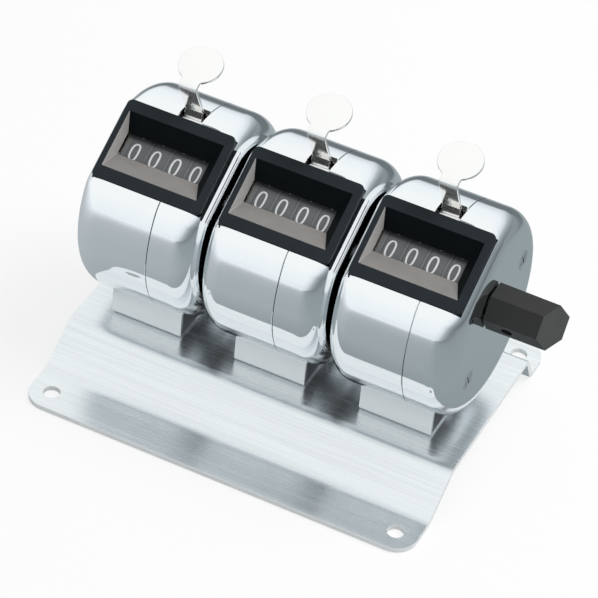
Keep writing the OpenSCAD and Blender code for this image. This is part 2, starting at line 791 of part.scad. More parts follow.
base_plate();
foot_bracket(left_x);  // left_foot_bracket
foot_bracket(middle_x);  // middle_foot_bracket
foot_bracket(right_x);  // right_foot_bracket
foot_screws();
case_left_shell(left_x);  // left_case_left_shell
case_left_shell(middle_x);  // middle_case_left_shell
case_left_shell(right_x);  // right_case_left_shell
case_right_shell(left_x);  // left_case_right_shell
case_right_shell(middle_x);  // middle_case_right_shell
case_right_shell(right_x);  // right_case_right_shell
case_screws();
window_bezel(left_x);  // left_window_bezel
window_bezel(middle_x);  // middle_window_bezel
window_bezel(right_x);  // right_window_bezel
window_comb(left_x);  // left_window_comb
window_comb(middle_x);  // middle_window_comb
window_comb(right_x);  // right_window_comb
mechanism_frame(left_x);  // left_mechanism_frame
mechanism_frame(middle_x);  // middle_mechanism_frame
mechanism_frame(right_x);  // right_mechanism_frame
number_wheel(left_x, 0);  // left_wheel_thousands
number_wheel(left_x, 1);  // left_wheel_hundreds
number_wheel(left_x, 2);  // left_wheel_tens
number_wheel(left_x, 3);  // left_wheel_units
number_wheel(middle_x, 0);  // middle_wheel_thousands
number_wheel(middle_x, 1);  // middle_wheel_hundreds
number_wheel(middle_x, 2);  // middle_wheel_tens
number_wheel(middle_x, 3);  // middle_wheel_units
number_wheel(right_x, 0);  // right_wheel_thousands
number_wheel(right_x, 1);  // right_wheel_hundreds
number_wheel(right_x, 2);  // right_wheel_tens
number_wheel(right_x, 3);  // right_wheel_units
check_spring(left_x);  // left_check_spring
check_spring(middle_x);  // middle_check_spring
check_spring(right_x);  // right_check_spring
lever(left_x);  // left_lever
lever(middle_x);  // middle_lever
lever(right_x);  // right_lever
lever_pins();
pawl_comb(left_x);  // left_pawl_comb
pawl_comb(middle_x);  // middle_pawl_comb
pawl_comb(right_x);  // right_pawl_comb
pawl_pin(left_x);  // left_pawl_pin
pawl_pin(middle_x);  // middle_pawl_pin
pawl_pin(right_x);  // right_pawl_pin
return_spring(left_x);  // left_return_spring
return_spring(middle_x);  // middle_return_spring
return_spring(right_x);  // right_return_spring
reset_shaft();
reset_knob();
knob_set_screw();
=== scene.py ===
# %% [markdown]
# # A bench tally counter
# Three drum-shaped counters stand on one bent steel plate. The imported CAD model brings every
# solid in its place. This lesson keeps the hidden ones and the feet, and gives them a finish.
# The other parts and the numerals are made again as smooth surfaces of their own.

# %% Load the frame
import math

import bmesh
import bpy
import numpy as np
from mathutils import Matrix, Vector
from mathutils.geometry import tessellate_polygon


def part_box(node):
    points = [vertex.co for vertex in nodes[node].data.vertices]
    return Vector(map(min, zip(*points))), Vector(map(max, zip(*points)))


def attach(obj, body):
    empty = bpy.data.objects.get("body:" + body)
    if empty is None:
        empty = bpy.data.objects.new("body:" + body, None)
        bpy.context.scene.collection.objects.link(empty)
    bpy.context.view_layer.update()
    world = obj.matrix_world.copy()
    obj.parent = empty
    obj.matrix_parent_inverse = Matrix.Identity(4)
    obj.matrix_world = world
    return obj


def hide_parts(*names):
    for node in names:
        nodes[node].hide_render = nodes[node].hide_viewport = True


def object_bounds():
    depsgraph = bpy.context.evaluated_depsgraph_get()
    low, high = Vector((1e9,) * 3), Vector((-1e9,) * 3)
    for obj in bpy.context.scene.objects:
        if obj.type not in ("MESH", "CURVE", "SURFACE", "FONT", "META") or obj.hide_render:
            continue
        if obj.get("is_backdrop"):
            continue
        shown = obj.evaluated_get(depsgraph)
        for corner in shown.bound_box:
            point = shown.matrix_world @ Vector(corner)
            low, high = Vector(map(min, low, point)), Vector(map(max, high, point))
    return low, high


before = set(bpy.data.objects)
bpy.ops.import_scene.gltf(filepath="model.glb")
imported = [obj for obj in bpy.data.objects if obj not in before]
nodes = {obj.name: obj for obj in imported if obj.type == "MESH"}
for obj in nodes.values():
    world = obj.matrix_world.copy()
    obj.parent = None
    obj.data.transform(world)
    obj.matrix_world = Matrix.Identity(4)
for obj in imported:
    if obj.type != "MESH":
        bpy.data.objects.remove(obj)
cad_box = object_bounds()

MM = 0.001


def placed(name, data):
    """A new object in the scene."""
    made = bpy.data.objects.new(name, data)
    bpy.context.scene.collection.objects.link(made)
    return made


# %% [markdown]
# ## The camera
# The picture was taken from the front right and well above, with a long lens. The place, the
# three directions and the lens come from a camera fitted to the plate's corners and holes.
# Written as a matrix, the columns are the camera's own right, up and backward directions.

# %% Camera
RIGHT = (0.89245, 0.44444, 0.07743)
UPWARD = (-0.34536, 0.56264, 0.75111)
BACKWARD = (0.29026, -0.69707, 0.65562)
PLACE = (0.2089, -0.50016, 0.49335)
SENSOR_MM, LENS_MM = 36, 201.6
NEAREST, FARTHEST = 0.01, 20
view = bpy.data.cameras.new("camera")
view.sensor_width, view.lens = SENSOR_MM, LENS_MM
view.clip_start, view.clip_end = NEAREST, FARTHEST
camera = placed("camera", view)
columns = np.array([RIGHT, UPWARD, BACKWARD]).T
camera.matrix_world = Matrix.Translation(PLACE) @ Matrix(columns.tolist()).to_4x4()
bpy.context.scene.camera = camera
print("camera distance in mm:", round(Vector(PLACE).length / MM))

# %% [markdown]
# ## Writing shader maths as expressions
# A material is a tree of small nodes. Placing each by hand hides the idea, so a Wire stands for
# one output, and +, -, * and / on it add the Math nodes. A Finish is one material: its node()
# places any other node, with the values or wires of its sockets and then the node's settings.

# %% Wires and finishes
class Wire:
    """One output of a node; arithmetic with numbers or other wires adds Math nodes."""

    def __init__(self, finish, socket):
        self.finish, self.socket = finish, socket

    def math(self, operation, other):
        """A Math node of this wire and another wire or a number."""
        return self.finish.node("Math", {0: self, 1: other}, operation=operation)

    def __add__(self, other):
        return self.math("ADD", other)

    def __sub__(self, other):
        return self.math("SUBTRACT", other)

    def __mul__(self, other):
        return self.math("MULTIPLY", other)

    def __truediv__(self, other):
        return self.math("DIVIDE", other)


# A colour Mix node has several sockets of one name, so these are found by number.
MIX_FACTOR, MIX_A, MIX_B, MIX_RESULT = 0, 6, 7, 2


class Finish:
    """A material, or the world, as a tree of nodes that is written as expressions."""

    def __init__(self, name, block=None):
        self.block = block or bpy.data.materials.new(name)
        self.block.use_nodes = True
        self.tree = self.block.node_tree
        self.tree.nodes.clear()

    def node(self, kind, sockets, out=0, **settings):
        """Places a node with a number, colour or wire for each socket; out is the output used."""
        made = self.tree.nodes.new("ShaderNode" + kind)
        for key, value in settings.items():
            setattr(made, key, value)
        for key, value in sockets.items():
            if isinstance(value, Wire):
                self.tree.links.new(value.socket, made.inputs[key])
            else:
                made.inputs[key].default_value = value
        return Wire(self, made.outputs[out]) if made.outputs else made

    def place(self, stretch=(1, 1, 1)):
        """Object coordinates in metres, multiplied by stretch along each axis."""
        spot = self.node("TexCoord", {}, "Object")
        return self.node("VectorMath", {0: spot, 1: stretch}, operation="MULTIPLY")

    def noise(self, waves, detail=2.0, roughness=0.5):
        """Smooth noise from 0 to 1; waves per metre are one number, or one for each axis."""
        waves = waves if isinstance(waves, tuple) else (waves, waves, waves)
        return self.node("TexNoise", {"Vector": self.place(waves), "Scale": 1.0,
                                      "Detail": detail, "Roughness": roughness})

    def mix(self, kind, factor, a, b):
        """Two colours through a Mix node, which blends or multiplies them."""
        a, b = [tone if isinstance(tone, Wire) else (*tone, 1) for tone in (a, b)]
        sockets = {MIX_FACTOR: factor, MIX_A: a, MIX_B: b}
        return self.node("Mix", sockets, MIX_RESULT, data_type="RGBA", blend_type=kind)

    def blend(self, factor, a, b):
        """A colour that goes from a to b as factor goes from 0 to 1."""
        return self.mix("MIX", factor, a, b)

    def ramp(self, value, stops):
        """A grey or colour looked up along stops, each a place from 0 to 1 and a tone."""
        wire = self.node("ValToRGB", {0: value})
        elements = wire.socket.node.color_ramp.elements
        while len(elements) < len(stops):
            elements.new(0.5)
        for element, (place, tone) in zip(elements, stops):
            element.position = place
            element.color = (*tone, 1) if isinstance(tone, tuple) else (tone, tone, tone, 1)
        return wire

    def bump(self, height, depth_mm):
        """A normal that follows height times depth_mm millimetres."""
        return self.node("Bump", {"Height": height, "Strength": 1.0, "Distance": depth_mm * MM})

    def rays(self, *kinds):
        """For each kind of ray, 1 where such a ray asks and 0 elsewhere."""
        return [self.node("LightPath", {}, f"Is {kind} Ray") for kind in kinds]

    def coat(self, **sockets):
        """Ends the tree in one Principled shader and returns the material."""
        names = {key.replace("_", " "): value for key, value in sockets.items()}
        self.node("OutputMaterial", {"Surface": self.node("BsdfPrincipled", names)})
        return self.block


def scaled(colour, share):
    """A colour with each of its parts multiplied by share."""
    return tuple(share * part for part in colour)

# %% [markdown]
# ## Polished plating
# The cases and levers are nickel-chrome plated: a mirror that takes nearly all its look from
# what stands around it. A perfect mirror looks synthetic. A slow swell under the plating bends
# reflections a little, and faint haze where fingers and cloths have been changes the gloss. The
# levers are stamped and only tumbled before plating, so they are duller than the cases.

# %% Chrome
def plated(name, colour, swell_mm=0.0016, gloss=0.035, metal=1.0):
    """The normal follows a slow swell; tone and roughness = gloss + 0.035 haze follow the haze."""
    f = Finish(name)
    swell = f.noise(90, detail=1.0)
    haze = f.noise(160, detail=3.0, roughness=0.6)
    tone = f.blend(haze, colour, scaled(colour, 0.965))
    return f.coat(Base_Color=tone, Metallic=metal, Roughness=haze * 0.035 + gloss,
                  Normal=f.bump(swell, swell_mm))


case_chrome = plated("case_chrome", (0.93, 0.945, 0.955))
lever_chrome = plated("lever_chrome", (0.985, 0.98, 0.965), swell_mm=0.0008, gloss=0.12, metal=0.85)
print("plated finishes:", case_chrome.name, lever_chrome.name)

# %% [markdown]
# ## Brushed sheet steel
# A belt runs along the row and leaves fine lines. Across them the light spreads, along them it
# stays sharp. Here the lines are noise stretched along X, used three times: as height, as
# gloss and as a slight change of tone. The plate's sheared edges are dull and not brushed, and
# the feet are of smoother sheet.

# %% Brushed steel
def brushed(name, colour, along=30, across=6000, depth_mm=0.0011, gloss=0.18, metal=1.0, contrast=0.14):
    """Lines = 0.6 fine + 0.4 coarse noise; they give the height, the gloss and the tone."""
    f = Finish(name)
    fine = f.noise((along, across, across), detail=3.0, roughness=0.65)
    coarse = f.noise((along * 0.5, across * 0.16, across * 0.16), roughness=0.6)
    lines = fine * 0.6 + coarse * 0.4
    tone = f.blend(f.ramp(lines, [(0.35, 0.0), (0.65, 1.0)]), scaled(colour, 1 - contrast), colour)
    return f.coat(Base_Color=tone, Metallic=metal, Roughness=lines * 0.16 + gloss,
                  Normal=f.bump(lines, depth_mm))


base_steel = brushed("base_steel", (0.90, 0.935, 0.955), metal=0.92)
cut_steel = brushed("cut_steel", (0.88, 0.895, 0.90), along=400, across=400, depth_mm=0.0004,
                    gloss=0.4, metal=0.15, contrast=0.05)
foot_steel = brushed("foot_steel", (0.83, 0.855, 0.865), along=40, across=2500, depth_mm=0.0002,
                     gloss=0.16, metal=0.7, contrast=0.04)
print("brushed finishes:", base_steel.name, cut_steel.name, foot_steel.name)

# %% [markdown]
# ## Turned and plated small parts
# Screws, pins and the shaft are turned from bar, springs are drawn wire. They are grey steel
# with fine marks that run round or along, small enough for plain noise to stand for them. The
# frames and pawls are stamped and yellow passivated, which gives them a warmer grey.

# %% Small steel parts
def turned_steel(name, colour, rough=0.28):
    """Roughness = rough + 0.14 marks; a slow stain takes the tone down to 0.82 of the colour."""
    f = Finish(name)
    marks = f.noise(2500, detail=3.0, roughness=0.6)
    tone = f.blend(f.noise(220), colour, scaled(colour, 0.82))
    return f.coat(Base_Color=tone, Metallic=1.0, Roughness=marks * 0.14 + rough,
                  Normal=f.bump(marks, 0.0012))


screw_steel = turned_steel("screw_steel", (0.80, 0.81, 0.82), rough=0.2)
shaft_steel = turned_steel("shaft_steel", (0.68, 0.69, 0.70))
pin_steel = turned_steel("pin_steel", (0.66, 0.67, 0.68))
spring_steel = turned_steel("spring_steel", (0.5, 0.51, 0.53))
frame_steel = turned_steel("frame_steel", (0.70, 0.67, 0.56), rough=0.35)
pawl_steel = turned_steel("pawl_steel", (0.66, 0.62, 0.50), rough=0.35)

# %% [markdown]
# ## Mouldings
# Bezel, wheels and knob are moulded in dark plastic from a spark-eroded tool, whose fine grain
# shows as soft speckle. The walls of the bezel's well carry painted light and shade in three
# tones. The knob's end was cut off, so it is paler than its moulded flats.

# %% Moulded plastic
def moulded(name, colour, rough=0.5, grain_mm=0.004, speckle=0.25, specular=0.3):
    """Tone follows 0.6 fine grain + 0.4 slow cloud, the normal the fine grain; roughness = rough + 0.1 cloud."""
    f = Finish(name)
    grain = f.noise(5200, roughness=0.6)
    cloud = f.noise(260)
    pale = tuple(part * (1 + speckle) + 0.002 for part in colour)
    tone = f.blend(f.ramp(grain * 0.6 + cloud * 0.4, [(0.3, 0.0), (0.7, 1.0)]), colour, pale)
    return f.coat(Base_Color=tone, Roughness=cloud * 0.1 + rough, Normal=f.bump(grain, grain_mm),
                  Specular_IOR_Level=specular)


bezel_black = moulded("bezel_black", (0.0135, 0.0185, 0.0225), rough=0.38, specular=0.14)
# The well's walls are black plastic with painted light and shade: pale on walls facing right, taupe on walls
# facing up the slope, near-black for painted shade on the others.
well_painted_light = moulded("well_painted_light", (0.355, 0.345, 0.34))
well_painted_half_light = moulded("well_painted_half_light", (0.215, 0.207, 0.203))
well_painted_shade = moulded("well_painted_shade", (0.003, 0.005, 0.006), specular=0.04)
wheel_grey = moulded("wheel_grey", (0.118, 0.125, 0.13))
comb_grey = moulded("comb_grey", (0.135, 0.142, 0.147))
knob_black = moulded("knob_black", (0.011, 0.011, 0.0105), rough=0.34, grain_mm=0.008,
                     speckle=0.5, specular=0.35)
knob_cut = moulded("knob_cut", (0.055, 0.06, 0.058), grain_mm=0.008, speckle=0.3)
numeral_ink = moulded("numeral_ink", (0.72, 0.74, 0.755), grain_mm=0.001, speckle=0.04, specular=0.5)
print("finishes made:", len(bpy.data.materials))

# %% [markdown]
# ## Gathering a shape
# Every new piece is a Form: arrays of points in millimetres with the faces between them. A grid
# of points gives quads, and a flat outline with holes is cut into triangles. When the piece is
# made, points that coincide are merged and all faces are turned outwards. A mark says which of
# the piece's finishes a face has.

# %% Form
def quads(rows, columns, wrap_rows, wrap_columns):
    """Quads between neighbours of a grid whose points are numbered row by row."""
    r = np.arange(rows if wrap_rows else rows - 1)
    c = np.arange(columns if wrap_columns else columns - 1)
    r, c = np.meshgrid(r, c, indexing="ij")
    r1, c1 = (r + 1) % rows, (c + 1) % columns
    return np.stack([r * columns + c, r1 * columns + c, r1 * columns + c1, r * columns + c1], -1)


class Form:
    """Points in millimetres and faces, gathered from grids and flat outlines."""

    def __init__(self):
        self.points, self.faces, self.marks, self.total = [], [], [], 0

    def add(self, points, faces, mark=0):
        """Adds points, and faces that count from the first of them."""
        points = np.asarray(points, float).reshape(-1, 3)
        faces = np.asarray(faces, int)
        self.points.append(points)
        self.faces += (faces + self.total).tolist()
        self.marks += [mark] * len(faces)
        self.total += len(points)

    def grid(self, points, wrap_rows=False, wrap_columns=False, keep=None, mark=0):
        """Adds a grid of points; keep is a mask of the quads that stay."""
        cells = quads(*points.shape[:2], wrap_rows, wrap_columns)
        cells = cells.reshape(-1, 4) if keep is None else cells[keep]
        self.add(points, cells, mark)

    def flat(self, loops, mark=0):
        """Adds a flat face inside the first loop, outside the others."""
        cut = tessellate_polygon([[Vector(p) for p in loop] for loop in loops])
        self.add(np.concatenate([np.asarray(loop) for loop in loops]), cut, mark)

    def bar(self, rings):
        """Adds a grid of closed rings with a flat face at either end."""
        self.grid(rings, False, True)
        for ring in (rings[0], rings[-1]):
            self.flat([ring])

    def join(self, other):
        """Adds all points and faces of another form."""
        self.points += other.points
        self.faces += [[corner + self.total for corner in face] for face in other.faces]
        self.marks += other.marks
        self.total += other.total

# %% Make a piece
MERGE = 2e-7
BEVEL_FROM = math.radians(40)


def piece(name, form, body, finishes, stands_for=(), sharp=35, bevel=0, weighted=False):
    """Makes the mesh, merges and orients it, and lets it ride on its body.

    stands_for names the CAD nodes it replaces; edges steeper than sharp degrees stay sharp."""
    mesh = bpy.data.meshes.new(name)
    mesh.from_pydata((np.concatenate(form.points) * MM).tolist(), [], form.faces)
    mesh.polygons.foreach_set("material_index", form.marks)
    work = bmesh.new()
    work.from_mesh(mesh)
    bmesh.ops.remove_doubles(work, verts=work.verts, dist=MERGE)
    bmesh.ops.recalc_face_normals(work, faces=work.faces)
    open_edges = sum(1 for e in work.edges if len(e.link_faces) != 2)
    work.to_mesh(mesh)
    work.free()
    mesh.shade_smooth()
    if not weighted:
        mesh.set_sharp_from_angle(angle=math.radians(sharp))
    for finish in finishes:
        mesh.materials.append(finish)
    made = placed(name, mesh)
    if bevel:
        soften(made, bevel)
    elif weighted:
        made.modifiers.new("normals", "WEIGHTED_NORMAL")
    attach(made, body)
    if stands_for:
        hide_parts(*stands_for)
    print(name, "faces:", len(mesh.polygons), "open edges:", open_edges)
    return made


def soften(made, width_mm):
    """Rounds a piece's sharp edges and keeps its flats flat in the light."""
    edge = made.modifiers.new("edges", "BEVEL")
    edge.width, edge.segments = width_mm * MM, 3
    edge.limit_method, edge.angle_limit = "ANGLE", BEVEL_FROM
    edge.harden_normals = False
    made.modifiers.new("normals", "WEIGHTED_NORMAL")

# %% [markdown]
# ## Where things are
# The same few sizes as in the CAD source, in millimetres: the three counters along X, the
# case's axis, and the window's plane. A point is often easiest to say in the window's own
# frame: x along the row, s up the slope, n out of the window, from the case's axis.

# %% Places
COUNTERS = {"left": -30.6, "middle": -0.6, "right": 29.4}
CASE_Y, CASE_Z, CASE_R = 3.25, 34.8, 23.1
TILT = math.radians(30)
WALL = 0.9
SEAM, SEAM_GAP = 3.9, 0.12
WHEEL_N, WHEEL_R = 8.2, 9.4
AXIS = (CASE_Y - WHEEL_N * math.sin(TILT), CASE_Z + WHEEL_N * math.cos(TILT))
UP = np.array([0, math.cos(TILT), math.sin(TILT)])
OUT = np.array([0, -math.sin(TILT), math.cos(TILT)])


def from_window(x, s, n):
    """y = case y + s cos tilt - n sin tilt, z = case z + s sin tilt + n cos tilt."""
    y = CASE_Y + s * math.cos(TILT) - n * math.sin(TILT)
    z = CASE_Z + s * math.sin(TILT) + n * math.cos(TILT)
    return np.stack(np.broadcast_arrays(x, y, z), -1)


def shifted(form, dx):
    """A copy of a form, moved along the row."""
    copy = Form()
    copy.points = [p + np.array([dx, 0, 0]) for p in form.points]
    copy.faces, copy.marks, copy.total = form.faces, form.marks, form.total
    return copy


print("shaft in mm at y, z =", [round(v, 2) for v in AXIS])

# %% [markdown]
# ## The outline of the case
# From the side the case is a circle with one flat, where the window sits. The sheet was drawn
# over a punch, so the circle runs into the flat through a radius. Every stretch is an arc about
# some centre, or a line, so one rule fits all: point = centre + (radius - depth) * normal.
# Depth is how far inside the skin we are, which gives the inner wall and the rounded rim too.

# %% Outline
FLAT_N, CORNER_R = 20.96, 8.0
CORNER_N = FLAT_N - CORNER_R
CORNER_S = math.sqrt((CASE_R - CORNER_R) ** 2 - CORNER_N ** 2)
CORNER_TURN = math.degrees(math.atan2(CORNER_S, CORNER_N))
WINDOW_LOW, WINDOW_HIGH, WINDOW_X = -8.8, 10.4, 12.85
SLOT_END, SLOT_X = 40.1, -1.6
FLAT_POINTS, DRUM_POINTS = 7, 116


def turn_at(s, depth):
    """Turn of the corner's normal where it reaches the height s up the slope."""
    return math.degrees(math.asin((abs(s) - CORNER_S) / (CORNER_R - depth))) * (1 if s > 0 else -1)


def corner(side, turns):
    """Points on the upper (1) or lower (-1) radius between the flat and the drum."""
    return [(side * CORNER_S, CORNER_N, CORNER_R, t) for t in turns]


def outline(depth_of_cut):
    """Centres (s, n), radii and turns of the outline's points, from the window's low edge round."""
    low, high = turn_at(WINDOW_LOW, depth_of_cut), turn_at(WINDOW_HIGH, depth_of_cut)
    lower = corner(-1, (low, low / 2))
    level = [(s, 0, FLAT_N, 0) for s in np.linspace(-CORNER_S, CORNER_S, FLAT_POINTS)]
    upper = corner(1, (high / 3, high * 2 / 3, high, (high + CORNER_TURN) / 2))
    back = np.linspace(SLOT_END, 360 - CORNER_TURN, DRUM_POINTS)
    drum = [(0, 0, CASE_R, t) for t in (CORNER_TURN, (CORNER_TURN + SLOT_END) / 2, *back)]
    front = corner(-1, np.linspace(-CORNER_TURN, low, 9)[1:-1])
    return np.array(lower + level + upper + drum + front)


def skin(rows, depth_of_cut):
    """Grid of points: outline times rows, each row a place x and a depth under the skin."""
    table = outline(depth_of_cut)
    turn = np.radians(table[:, 3])
    x, depth = np.asarray(rows, float).T
    reach = table[:, 2, None] - depth
    s = table[:, 0, None] + reach * np.sin(turn)[:, None]
    n = table[:, 1, None] + reach * np.cos(turn)[:, None]
    return from_window(x, s, n)


# The first cells of the outline are the window's, and the next four are the slot's.
WINDOW_CELLS = 2 + FLAT_POINTS + 2
SLOT_CELLS = WINDOW_CELLS + 4
print("corner starts at s =", round(CORNER_S, 2), "and ends at a turn of", round(CORNER_TURN, 1))

# %% [markdown]
# ## The drawn shells
# Each case is two cups that meet at a fine seam. A cup is the skin's outline carried along X,
# then round the rim with a radius of 5.5, and closed by the flat side. Outer and inner wall are
# two grids with the same numbering, so wherever a quad is left out for the window or the lever's
# slot, the rim of the hole is a row of quads between the two. A narrow ring of quads keeps the
# long triangles of the flat side away from the rounded rim.

# %% Rows across a cup
RIM_X, RIM_R, SIDE_X = 9.15, 5.5, 14.65
SEAM_EDGE, MIDWAY = 0.07, 6


def rim_turns(radius, before, after):
    """Turns round the rim in degrees, one of them exactly at the window's side."""
    return [*before, math.degrees(math.asin((WINDOW_X - RIM_X) / radius)), *after]


OUTER_TURNS = rim_turns(RIM_R, (0, 7, 14, 21, 28, 35), (50, 58, 66, 74, 82, 90))
INNER_TURNS = rim_turns(RIM_R - WALL, (0, 9, 18, 27, 36, 45), (60, 66, 72, 78, 84, 90))


def rim_rows(side, radius, turns, first_depth):
    """Rows round the rim: x and depth of a quarter circle."""
    t = np.radians(turns)
    return np.stack([side * (RIM_X + radius * np.sin(t)), first_depth + radius * (1 - np.cos(t))], -1)


def cup_rows(side):
    """Matching rows of the outer and inner wall, from the seam to the side."""
    edge = SEAM if side < 0 else SEAM + SEAM_GAP
    inward = [edge + side * SEAM_EDGE] + ([SLOT_X] if side < 0 else [])
    outer = np.array([[edge, SEAM_EDGE]] + [[x, 0] for x in inward] + [[side * MIDWAY, 0]])
    inner = outer.copy()
    inner[:, 1] = WALL
    return (np.concatenate([outer, rim_rows(side, RIM_R, OUTER_TURNS, 0)]),
            np.concatenate([inner, rim_rows(side, RIM_R - WALL, INNER_TURNS, WALL)]))


def circle(centre_s, centre_n, radius, x, count=40):
    """Ring of points in a plane across X, in the window's frame."""
    a = np.linspace(0, 2 * np.pi, count, endpoint=False)
    return from_window(x, centre_s + radius * np.cos(a), centre_n + radius * np.sin(a))

# %% A cup
SCREW_REACH, SCREW_TURNS = 14.3, (1.4, 183.4)
SCREWS = [(SCREW_REACH * math.cos(a), SCREW_REACH * math.sin(a)) for a in np.radians(SCREW_TURNS)]
SHAFT_HOLE, HEAD_HOLE, SHANK_HOLE = 2.3, 2.35, 1.45
OUTER_RING, INNER_RING = 6.2, 5.9
LIP_X, LIP_DEPTHS = (SEAM - 1.2, SEAM + 1.02), (WALL + 0.05, WALL + 0.5)


def loose_quads(form, *corners):
    """A quad from each row of four lists of points."""
    form.add(np.stack(corners, 1), np.arange(4 * len(corners[0])).reshape(-1, 4))


def sheet(form, outer, inner, keep):
    """Outer and inner grid, and walls between them where a kept cell borders on a left-out one."""
    form.grid(outer, True, False, keep)
    form.grid(inner, True, False, keep)
    count = outer.shape[0]
    before = np.roll(keep, 1, axis=0)
    i, j = np.nonzero(before != keep)
    loose_quads(form, outer[i, j], outer[i, j + 1], inner[i, j + 1], inner[i, j])
    padded = np.concatenate([np.zeros((count, 1), bool), keep], 1)
    i, j = np.nonzero(padded[:, :-1] != padded[:, 1:])
    k = (i + 1) % count
    loose_quads(form, outer[i, j], outer[k, j], inner[k, j], inner[i, j])


def cup(side):
    """One drawn shell in the middle of the row: side is -1 for the left one, 1 for the right."""
    form = Form()
    rows_out, rows_in = cup_rows(side)
    outer, inner = skin(rows_out, 0), skin(rows_in, WALL)
    x = side * (rows_out[:-1, 0] + rows_out[1:, 0]) / 2
    keep = np.ones((outer.shape[0], outer.shape[1] - 1), bool)
    keep[:WINDOW_CELLS, x < WINDOW_X] = False
    if side < 0:
        keep[WINDOW_CELLS:SLOT_CELLS, -x > SLOT_X] = False
    sheet(form, outer, inner, keep)
    holes = [(0, WHEEL_N, SHAFT_HOLE, SHAFT_HOLE)]
    if side > 0:
        holes += [(s, n, HEAD_HOLE, SHANK_HOLE) for s, n in SCREWS]
    for rows, cut, depth, which in ((rows_out, 0, OUTER_RING, 2), (rows_in, WALL, INNER_RING, 3)):
        face_x = rows[-1, 0]
        ring = np.stack([skin(rows[-1:], cut)[:, 0], skin([[face_x, depth]], 0)[:, 0]], 1)
        form.grid(ring, True)
        form.flat([ring[:, 1]] + [circle(h[0], h[1], h[which], face_x) for h in holes])
    for s, n, wide, narrow in holes:
        ends = [circle(s, n, wide, rows_out[-1, 0]), circle(s, n, narrow, rows_in[-1, 0])]
        form.grid(np.stack(ends, 1), True)
    return form


def lip():
    """The right cup's inner lip, which bridges the seam from inside."""
    form = Form()
    outer, inner = [skin([[x, depth] for x in LIP_X], WALL) for depth in LIP_DEPTHS]
    keep = np.ones((outer.shape[0], 1), bool)
    keep[:SLOT_CELLS] = False
    sheet(form, outer, inner, keep)
    i = np.nonzero(keep[:, 0])[0]
    k = (i + 1) % outer.shape[0]
    loose_quads(form, outer[i, 1], outer[k, 1], inner[k, 1], inner[i, 1])
    return form

# %% Six shells
left_cup, right_cup = cup(-1), cup(1)
right_cup.join(lip())
for name, x in COUNTERS.items():
    for side, form in (("left", left_cup), ("right", right_cup)):
        piece(f"{name}_{side}_cup", shifted(form, x), "root", [case_chrome],
              [f"{name}_case_{side}_shell"])

# %% [markdown]
# ## The bezel
# A moulded frame with a four-sided well that narrows down to the opening over the wheels. It is
# a loft: a list of rounded rectangles, each at its own height, joined by quads, and closed into
# a ring by running back underneath. Tight pairs of rectangles make the small edge radii. The
# walls of the well are one black moulding with light and shade painted on: each wall gets a
# finish of its own, picked by the way it faces, pale or taupe for painted light and near-black
# for painted shade.

# %% Bezel
# Each rectangle is its middle (x, s), its width and its height.
OUTER_EDGE = (0, 0.8, 25.6, 19.1)
MOUTH = (-0.18, 0.9, 22.5, 13.4)
OPENING = (-0.98, 1.33, 19.4, 5.4)
HOLLOW = (-0.18, 0.9, 23.6, 14.6)
BEZEL_TOP, BEZEL_LOW = 21.06, 19.16
WELL_HEIGHTS, WELL_HALF_X, WELL_HALF_S = (17.9, 21.02), 12.2, 6.9


def rounded_rectangle(x, s, width, height, radius, n, steps=4):
    """Ring of points: quarter circles about four corner centres, at height n."""
    t = np.radians(np.linspace(0, 90, steps + 1) + 90 * np.arange(4)[:, None])
    cx = x + (width / 2 - radius) * np.array([1, -1, -1, 1])[:, None]
    cs = s + (height / 2 - radius) * np.array([1, 1, -1, -1])[:, None]
    ring = [cx + radius * np.cos(t), cs + radius * np.sin(t), np.full(t.shape, n)]
    return np.stack(ring, -1).reshape(-1, 3)


def grown(rectangle, grow, radius, n):
    """A rounded rectangle at height n, larger than the given one by grow on each side."""
    x, s, width, height = rectangle
    return rounded_rectangle(x, s, width + 2 * grow, height + 2 * grow, radius, n)


def bezel():
    """Outer edge, mouth of the well, opening and hollow underside as one closed loft."""
    form = Form()
    top = BEZEL_TOP
    edge = [(0, BEZEL_LOW), (0, top - 0.28), (0.03, top - 0.12), (0.12, top - 0.03), (0.28, top)]
    outside = [grown(OUTER_EDGE, -i, 1.2 - i * 0.5, n) for i, n in edge]
    mouth = [grown(MOUTH, i, 0.25, n) for i, n in ((0.12, top), (0.03, top - 0.04), (0, top - 0.12))]
    opening = [grown(OPENING, i, radius, n) for i, radius, n in
               ((0.03, 0.12, 18.02), (0, 0.1, 17.94), (0.025, 0.1, 17.8))]
    rings = np.stack(outside + mouth + opening + [grown(HOLLOW, 0, 0.3, BEZEL_LOW)])
    form.grid(from_window(*np.moveaxis(rings, -1, 0)), True, True)
    return form


def walls(mesh, x):
    """Painted light by facing: 0 for faces outside the well, else 1 facing right, 2 facing up the slope, 3 the
    others.
    """
    normal, centre = np.empty((2, len(mesh.polygons) * 3))
    mesh.polygons.foreach_get("normal", normal)
    mesh.polygons.foreach_get("center", centre)
    normal = normal.reshape(-1, 3)
    centre = centre.reshape(-1, 3) / MM - [x, CASE_Y, CASE_Z]
    level, height = normal @ OUT, centre @ OUT
    low, high = WELL_HEIGHTS
    well = (height > low) & (height < high) & (level > 0.1) & (level < 0.97)
    well &= (np.abs(centre[:, 0]) < WELL_HALF_X) & (np.abs(centre @ UP - MOUTH[1]) < WELL_HALF_S)
    return np.select([~well, normal[:, 0] > 0.5, normal @ UP > 0.4], [0, 1, 2], 3)


bezel_form = bezel()
for name, x in COUNTERS.items():
    made = piece(name + "_bezel", shifted(bezel_form, x), "root",
                 [bezel_black, well_painted_light, well_painted_half_light, well_painted_shade], [name + "_window_bezel"],
                 weighted=True)
    # Each wall of the well gets its painted light or painted shade by the way it faces.
    made.data.polygons.foreach_set("material_index", walls(made.data, x).astype(np.int32))

# %% [markdown]
# ## Number wheels
# A wheel is a turned profile: rim, web and hub, with small chamfers, spun about the shaft. The
# saw-tooth ratchet beside it is a flat outline given a thickness.

